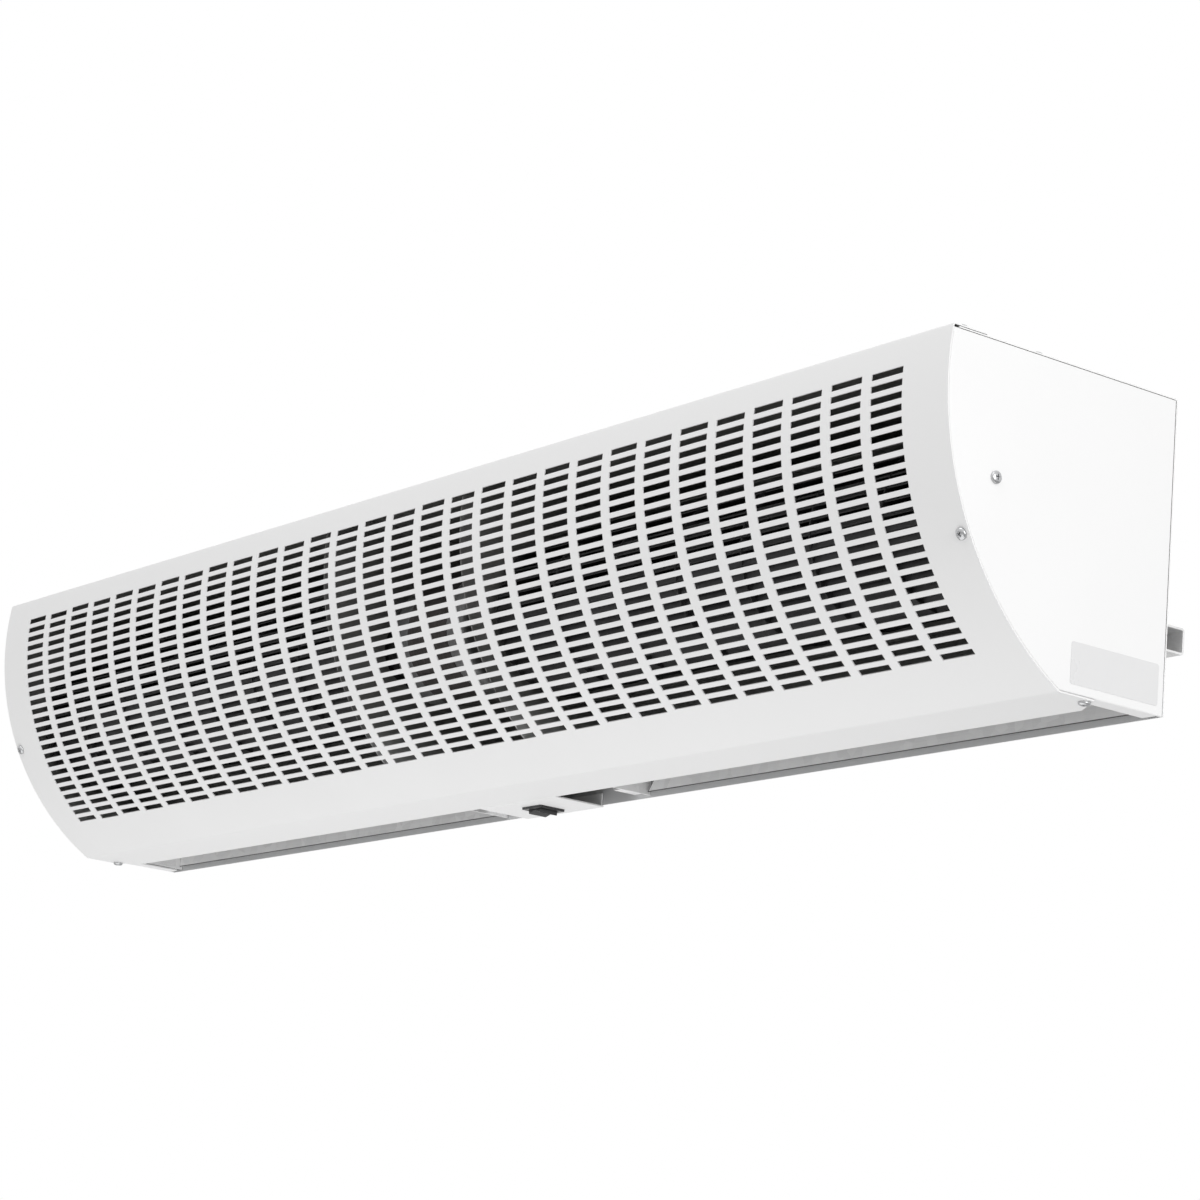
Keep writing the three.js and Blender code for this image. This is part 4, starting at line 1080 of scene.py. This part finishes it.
def impeller(side, name):
    """Tangential fan wheel: curved blades between two discs, held by thin rings on the way."""
    node = f"impeller_{name}"
    x0, x1, radius = half_size(node)
    parts = []
    hub_side, stub_side = (x0, x1) if side > 0 else (x1, x0)
    for at, bore, inwards in ((hub_side, 18.3, side), (stub_side, 4.3, -side)):
        thick = inwards * RING_T * 1.5
        groove = radius - BLADE_DEPTH - 6
        profile = [
            (at, bore), (at, groove), (at + thick * 0.4, groove + 1.5), (at + thick * 0.4, radius - 1.2),
            (at, radius - 0.5), (at + thick * 0.5, radius), (at + thick, radius), (at + thick, bore),
            (at, bore),
        ]
        parts.append(turned(profile, 96))
    inner, half = radius - BLADE_DEPTH - 2.5, RING_T / 2
    for k in range(1, WHEEL_RINGS):
        at = x0 + (x1 - x0) * k / WHEEL_RINGS
        parts.append(ring(at, [(half, inner), (half, radius - 0.3), (half / 2, radius)], 96))
    for i in range(BLADES):
        parts.append(blade(i * math.tau / BLADES, x0 + half, x1 - half, radius))
    return piece(node, joined(*parts), WHEEL, "fan")


def impeller_hub(name):
    """Rubber hub vulcanised to the wheel, with a clamp groove and a bore for the shaft."""
    node = f"impeller_hub_{name}"
    x0, x1, radius = half_size(node)
    end, bore = (x1 - x0) / 2, 5.1
    half = [
        (end, bore), (end, radius - 1.5), (end - 0.6, radius - 0.4), (end - 1.6, radius),
        (end * 0.24, radius), (end * 0.16, radius - 1),
    ]
    return piece(node, ring((x0 + x1) / 2, half), RUBBER, "fan", smooth=50)


def stub_shaft(side, name):
    """Stub with a riveted flange, which runs in the end bearing."""
    node = f"stub_shaft_{name}"
    low, high = extent(node)
    radius = (high.z - low.z) / 2
    wheel = extent(f"impeller_{name}")
    start = abs(wheel[1].x if side > 0 else wheel[0].x)
    inner, outer = sorted((abs(low.x), abs(high.x)))
    profile = [
        (inner, 0), (inner, 3.6), (inner + 0.4, 4), (start + SEAT, 4), (start + SEAT, radius - 0.3),
        (start + SEAT + 0.3, radius), (start + SEAT + 1.7, radius), (start + SEAT + 2, radius - 0.3),
        (start + SEAT + 2, 4.6), (start + SEAT + 2.6, 4), (outer - 0.6, 4), (outer, 3.4), (outer, 0),
    ]
    profile = [(side * x, r) for x, r in profile]
    return piece(node, turned(profile, 64), STEEL, "fan", smooth=42)


def bearing(name):
    """Ball bearing with its two races and a shield on each face."""
    node = f"bearing_{name}"
    x0, x1, radius = half_size(node)
    end, bore = (x1 - x0) / 2, 4.15
    half = [
        (end - 0.4, bore), (end, bore + 0.4), (end, bore + 1.8), (end - 0.7, bore + 1.9),
        (end - 0.5, radius - 2.1), (end, radius - 2), (end, radius - 0.4), (end - 0.4, radius),
    ]
    return piece(node, ring((x0 + x1) / 2, half), STEEL, smooth=42)


def bearing_bush(name):
    """Rubber bush whose groove grips the bearing wall."""
    node = f"bearing_bush_{name}"
    x0, x1, radius = half_size(node)
    end, bore, slit = (x1 - x0) / 2, 11.2, SHEET / 2 + SEAT
    half = [
        (end - 0.6, bore), (end, bore + 0.6), (end, radius - 2.2), (end - 0.5, radius - 1),
        (end - 2, radius), (slit, radius), (slit, radius - 3),
    ]
    return piece(node, ring((x0 + x1) / 2, half), RUBBER, smooth=50)


# ---- Motor -------------------------------------------------------------------------------


def stator():
    """Stack of plates with four shallow grooves along it."""
    x0, x1, radius = half_size("stator")
    stack = prism(circle((AXIS.y, AXIS.z), radius, 96), x0, x1)
    tools = [peg(x0 - 1, x1 + 1, STATOR_BORE, 72)]
    for k in range(4):
        angle = math.pi / 4 + k * math.pi / 2
        out = radius + 0.8
        centre = (0, AXIS.y + out * math.cos(angle), AXIS.z + out * math.sin(angle))
        tools.append(peg(x0 - 1, x1 + 1, 2.4, 20, at=centre))
    return piece("stator", carved(stack, tools), IRON, edge=0.2)


def motor_rotor():
    """Rotor core with its end rings on the long ground shaft."""
    low, high = extent("motor_rotor")
    end, core, radius, shaft = high.x, 24.0, (high.z - low.z) / 2, 5.0
    half = [
        (core - 4, radius), (core - 4, radius - 1.2), (core, radius - 2), (core, shaft + 3),
        (core - 1, shaft), (end - 1, shaft), (end, shaft - 1), (end, 0),
    ]
    profile = [(-x, r) for x, r in reversed(half)] + half
    return piece("motor_rotor", turned(profile, 72), STEEL, "fan", smooth=40)


def motor_cap(side, name):
    """Die-cast end cap: dished, with a boss and cooling ribs."""
    node = f"motor_cap_{name}"
    x0, x1, radius = half_size(node)
    inner, outer = sorted((abs(x0), abs(x1)))
    end = outer - 17
    boss, bore, wall = 20, 5.3, 3
    profile = [
        (inner, radius - wall), (inner, radius - 0.4), (inner + 0.4, radius), (end - 5, radius),
        (end - 2.4, radius - 0.8), (end - 0.8, radius - 2.6), (end, radius - 5), (end, boss + 2.4),
        (end + 0.7, boss + 0.7), (end + 2.4, boss), (outer - 0.8, boss), (outer, boss - 0.8),
        (outer, bore + 0.6), (outer - 0.6, bore), (end - wall, bore), (end - wall, radius - wall),
        (inner, radius - wall),
    ]
    parts = [turned([(side * x, r) for x, r in profile], 72)]
    for k in range(CAP_RIBS):
        rib = rounded_box((radius - 16, 0), (20, 2.2), 1.0, side * (end - 1), side * (end + 0.9), "x")
        rib.transform(Matrix.Translation(AXIS) @ Matrix.Rotation(k * math.tau / CAP_RIBS + 0.13, 4, "X"))
        parts.append(rib)
    return piece(node, joined(*parts), ALUMINIUM, edge=0.15, smooth=36)


def motor_ring(name):
    """Rubber ring between the motor's boss and its bracket, with a bead at each rim."""
    node = f"motor_ring_{name}"
    x0, x1, radius = half_size(node)
    end, bore = (x1 - x0) / 2, 20.2
    half = [
        (end, bore), (end, radius - 1.6), (end - 0.5, radius - 0.5), (end - 1.6, radius),
        (end - 2.8, radius - 0.5), (end - 3.2, radius - 0.9),
    ]
    return piece(node, ring((x0 + x1) / 2, half), RUBBER, smooth=50)


def motor_bracket():
    """Folded bracket: back plate, two cheeks with half-round seats, and tabs for the straps."""
    low, high = extent("motor_bracket")
    sheet, cheek, back = 2.0, 54.0, high.y
    middle_z = (low.z + high.z) / 2
    path = [(-cheek, AXIS.y), (-cheek, back), (cheek, back), (cheek, AXIS.y)]
    body = folded(path, -sheet, low.z, high.z, "z", 3.2)
    saddle = peg(-60, 60, STRAP_SEAT, 72)
    window = rounded_box((0, middle_z), (70, 44), 8, back - 4, back + 2, "y")
    parts = [carved(body, [saddle, window])]
    path = [(cheek - sheet, AXIS.y + 6), (cheek - sheet, AXIS.y), (cheek + 10, AXIS.y)]
    for side in (-1, 1):
        for z0, z1 in ((low.z, AXIS.z - STRAP_SEAT), (AXIS.z + STRAP_SEAT, high.z)):
            tab = folded(path, -sheet, z0, z1, "z", 0.6)
            parts.append(mirrored(tab) if side < 0 else tab)
    return piece("motor_bracket", joined(*parts), INSIDE_ZINC_PAINTED_LIGHT, edge=0.2)


def motor_strap(name):
    """Strap bent over a rubber ring, hooked under one tab and screwed to the other."""
    node = f"motor_strap_{name}"
    low, high = extent(node)
    sheet, seat = 1.6, STRAP_SEAT
    front = AXIS.y - SEAT
    hook = low.z + sheet
    around = circle((AXIS.y, AXIS.z), seat, 40, math.radians(260), math.radians(100))
    path = [(high.y, hook), (front, hook), (front, AXIS.z - seat - sheet)]
    path += [p for p in around if p[0] < front - SEAT]
    path += [(front, AXIS.z + seat + sheet), (front, high.z)]
    return piece(node, folded(path, sheet, low.x, high.x, bend=1.2), INSIDE_ZINC_PAINTED_LIGHT, edge=0.2)


# ---- Switch ------------------------------------------------------------------------------


def switch_plate():
    """Sheet that closes the middle of the outlet, flanged at front and rear, with the switch's opening."""
    low, high = extent("switch_plate")
    middle = span("switch_housing")[2]
    rear = -(SHEET + SEAT)
    path = [(low.y, high.z), (low.y, 0), (rear, 0), (rear, high.z)]
    channel = folded(path, SHEET, low.x, high.x, bend=1.4)
    ledge = block((low.x, rear - SHEET - 1, 0), (high.x, 0, SHEET))
    hole = rounded_box(middle[:2], SWITCH_HOLE, 0.8, -2, 3)
    return piece("switch_plate", carved(carved(channel, [ledge], "UNION"), [hole]), PAINT, edge=0.15)


def switch_housing():
    """Snap-in housing with a raised, rounded bezel and spring catches on its short sides."""
    low, high, middle = span("switch_housing")
    bezel = rounded_box(middle[:2], (high.x - low.x, high.y - low.y), 1.2, low.z, 0)
    rims = [f.edges for f in bezel.faces if all(abs(v.co.z - low.z) < 1e-4 for v in f.verts)]
    edges = list({e for rim in rims for e in rim})
    bmesh.ops.bevel(bezel, geom=edges, offset=0.6, segments=3, affect="EDGES", profile=0.6)
    body = rounded_box(middle[:2], SWITCH_BODY, 0.8, low.z / 2, high.z)
    well = rounded_box(middle[:2], SWITCH_WELL, 0.7, low.z - 3, 10)
    parts = [carved(carved(bezel, [body], "UNION"), [well])]
    for side in (-1, 1):
        outline = [(middle.x + side * x, z) for x, z in ((10.4, 3.0), (12.0, 3.4), (10.4, 11.0))]
        parts.append(prism(outline, middle.y - 3, middle.y + 3, "y"))
    return piece("switch_housing", joined(*parts), PLASTIC, edge=0.15, smooth=40)


def switch_rocker():
    """Rocker with two dished ends that meet in a shallow V."""
    low, high, middle = span("switch_rocker")
    half_x, half_y = (high.x - low.x) / 2, (high.y - low.y) / 2 - 1.2
    dip, pivot = 2.1, 2.5
    steps = 10
    outline = []
    for i in range(2 * steps + 1):
        share = i / steps - 1
        rise = dip * (1 - abs(share)) ** 1.25
        outline.append((middle.x + share * (half_x - 0.5), low.z + rise))
    outline += [
        (middle.x + half_x, 0), (middle.x + half_x - 0.4, pivot), (middle.x + 4.5, high.z),
        (middle.x - 4.5, high.z), (middle.x - half_x + 0.4, pivot), (middle.x - half_x, 0),
    ]
    body = prism(outline, middle.y - half_y, middle.y + half_y, "y")
    pin = half_y + 1.2
    pins = peg(-pin, pin, 1.2, 24, at=(middle.x, middle.y, pivot), out=(0, 1, 0))
    return piece("switch_rocker", joined(body, pins), PLASTIC, "rocker", edge=0.45, smooth=40)


def switch_terminals():
    """Base of the switch with three stamped blades, each with its locking hole."""
    low, high, middle = span("switch_terminals")
    width, top, half = high.x - low.x, high.z, 3.15
    parts = [rounded_box(middle[:2], (width, high.y - low.y), 0.6, low.z, low.z + 2)]
    shape = [(-half, low.z + 1), (half, low.z + 1), (half, top - 1.2)]
    shape += [(2.2, top), (-2.2, top), (-half, top - 1.2)]
    for place in (-1, 0, 1):
        x = middle.x + place * width * 0.4
        tab = prism([(middle.y + y, z) for y, z in shape], x - 0.4, x + 0.4)
        parts.append(carved(tab, [peg(-2, 2, 0.85, 24, at=(x, middle.y, top - 4))]))
    return piece("switch_terminals", joined(*parts), BRASS, edge=0.1)


# ---- Motor bay fittings ------------------------------------------------------------------


def capacitor():
    """Moulded capacitor with rounded corners."""
    low, high, middle = span("capacitor")
    case = rounded_box(middle[:2], (high.x - low.x, high.y - low.y), 3.0, low.z, high.z)
    return piece("capacitor", case, GREY, edge=0.7)


def capacitor_clip():
    """Spring clip round the capacitor."""
    low, high, middle = span("capacitor_clip")
    size = (high.x - low.x, high.y - low.y)
    band = rounded_box(middle[:2], size, 4.0, low.z, high.z)
    inside = rounded_box(middle[:2], (size[0] - 2, size[1] - 2), 3.0, low.z - 2, high.z + 2)
    return piece("capacitor_clip", carved(band, [inside]), INSIDE_ZINC_PAINTED_LIGHT, edge=0.15)


def terminal_block():
    """Three-way screw terminal block: two wells for each way, and slits between the ways."""
    low, high, middle = span("terminal_block")
    body = rounded_box((middle.x, middle.z), (high.x - low.x, high.z - low.z), 1.2, low.y, high.y, "y")
    ways = 3
    pitch = (high.z - low.z) / ways
    tools = []
    for way in range(ways):
        for place in (-1, 1):
            at = (middle.x + place * 5.2, low.y, low.z + (way + 0.5) * pitch)
            tools.append(peg(-2, 6, 2.6, 28, at=at, out=(0, 1, 0)))
    for z in (low.z + way * pitch for way in range(1, ways)):
        tools.append(block((low.x - 1, low.y - 1, z - 0.6), (high.x + 1, low.y + 4, z + 0.6)))
    return piece("terminal_block", carved(body, tools), GREY, edge=0.25)


# ---- Wall rails --------------------------------------------------------------------------


def wall_rail(name):
    """Channel screwed to the wall, its flanges towards the unit."""
    node = f"wall_rail_{name}"
    low, high = extent(node)
    path = [(low.y, low.z), (high.y, low.z), (high.y, high.z), (low.y, high.z)]
    channel = folded(path, RAIL_SHEET, low.x, high.x, bend=2.6)
    holes = []
    for x in (-RAIL_HOLE_X, RAIL_HOLE_X):
        at = (x, high.y, (low.z + high.z) / 2)
        holes.append(peg(-4, 4, RAIL_HOLE_R, 32, at=at, out=(0, 1, 0)))
    return piece(node, carved(channel, holes), ZINC, edge=0.2)


def rail_post(node):
    """Post riveted into the back of the casing, with a rounded head inside."""
    low, high, middle = span(node)
    radius = (high.z - low.z) / 2
    inside = -SHEET - SEAT
    profile = [
        (low.y, 0), (low.y + 0.15, radius * 0.5), (low.y + 0.7, radius * 0.9), (inside, radius),
        (inside, 2.5), (SEAT, 2.5), (SEAT, radius - 0.4), (SEAT + 0.4, radius), (high.y - 0.4, radius),
        (high.y, radius - 0.4), (high.y, 0),
    ]
    return piece(node, turned(profile, 40, at=(middle.x, 0, middle.z), out=(0, 1, 0)), SCREW, smooth=42)


# ---- The whole ---------------------------------------------------------------------------

front_panel()
rear_casing()
rating_label()
cable_grommet()
screws()
for side, name in SIDES:
    end_plate(side, name)
    bearing_wall(side, name)
    bearing_bush(name)
    bearing(name)
    partition(side, name)
    scroll_sheet(side, name)
    outlet_tongue(name)
    impeller(side, name)
    impeller_hub(name)
    stub_shaft(side, name)
    motor_cap(side, name)
    motor_ring(name)
    motor_strap(name)
stator()
motor_rotor()
motor_bracket()
switch_plate()
switch_housing()
switch_rocker()
switch_terminals()
capacitor()
capacitor_clip()
terminal_block()
for name in ("lower", "upper"):
    wall_rail(name)
    for _, end in SIDES:
        rail_post(f"rail_post_{name}_{end}")


# ---- Stage, light and camera -------------------------------------------------------------

CAMERA_PLACE = (2.0669, -1.4896, -0.5009)
CAMERA_TURN = (103.581, -4.730, 53.334)  # degrees about x, y and z
CAMERA_LENS = 104.09
SENSOR = 36
FLOOR_Z = -5
FLOOR_SIZE = 40
FLOOR_GLOW = 0.42  # added where the camera sees the floor, for a nearly white backdrop
AMBIENT = 0.6
SIGHT = 40  # metres that the camera sees


def world():
    """Plain ambient light, and white for what looks past the unit."""
    surround = bpy.data.worlds.new("surround")
    scene.world = surround
    surround.use_nodes = True
    tree = surround.node_tree
    tree.nodes.clear()
    path = tree.nodes.new("ShaderNodeLightPath").outputs
    seen = combined(tree, "MAXIMUM", path["Is Camera Ray"], path["Is Glossy Ray"])
    seen = combined(tree, "MAXIMUM", seen, path["Is Transmission Ray"])
    shades = {0: seen}
    for place, strength in ((1, AMBIENT), (2, 1.0)):
        light = add_node(tree, "ShaderNodeBackground", Strength=strength, Color=(1, 1, 1, 1))
        shades[place] = light.outputs[0]
    mix = add_node(tree, "ShaderNodeMixShader", shades)
    add_node(tree, "ShaderNodeOutputWorld", {"Surface": mix.outputs[0]})


def floor():
    """Pale floor far below the unit, which keeps its shadow."""
    bm = bmesh.new()
    half = FLOOR_SIZE / 2
    corners = [(-half, -half), (half, -half), (half, half), (-half, half)]
    bm.faces.new([bm.verts.new((x, y, FLOOR_Z)) for x, y in corners])
    obj = in_scene(bm, "floor")
    pale = Finish("floor_pale", Roughness=0.9, Emission_Strength=1.0)
    grain = pale.effect(GRAIN, Grain_Scale=60.0, Mottle_Scale=1.2)
    pale.feed("Base Color", pale.blend(grain["Mottle"], (0.84,) * 3, (0.88,) * 3))
    seen = add_node(pale.tree, "ShaderNodeLightPath").outputs["Is Camera Ray"]
    pale.feed("Emission Color", pale.blend(seen, (0.0,) * 3, (FLOOR_GLOW,) * 3))
    obj.data.materials.append(pale.material)


def lamp(name, place, aim, size, power):
    """Soft square lamp."""
    data = bpy.data.lights.new(name, "AREA")
    data.shape = "SQUARE"
    data.size = size
    data.energy = power
    obj = bpy.data.objects.new(name, data)
    scene.collection.objects.link(obj)
    obj.location = place
    obj.visible_camera = False
    obj.rotation_euler = (Vector(aim) - Vector(place)).to_track_quat("-Z", "Y").to_euler()


def camera():
    """The photo's view of the unit, from below its right end."""
    data = bpy.data.cameras.new("camera")
    data.sensor_width = SENSOR
    data.sensor_fit = "HORIZONTAL"
    data.lens = CAMERA_LENS
    data.clip_end = SIGHT
    obj = bpy.data.objects.new("camera", data)
    scene.collection.objects.link(obj)
    obj.location = CAMERA_PLACE
    obj.rotation_euler = [math.radians(a) for a in CAMERA_TURN]
    scene.camera = obj


world()
floor()
lamp("right_lamp", (3.4, -0.4, 0.3), (0.5, -0.1, 0.05), 1.8, 50)
lamp("low_lamp", (-0.2, -0.55, -1.2), (-0.2, -0.3, 0.0), 2.0, 12.5)
lamp("top_lamp", (0.4, -1.2, 1.9), (0.0, -0.1, 0.1), 2.0, 20)
camera()

scene.view_settings.view_transform = "Standard"
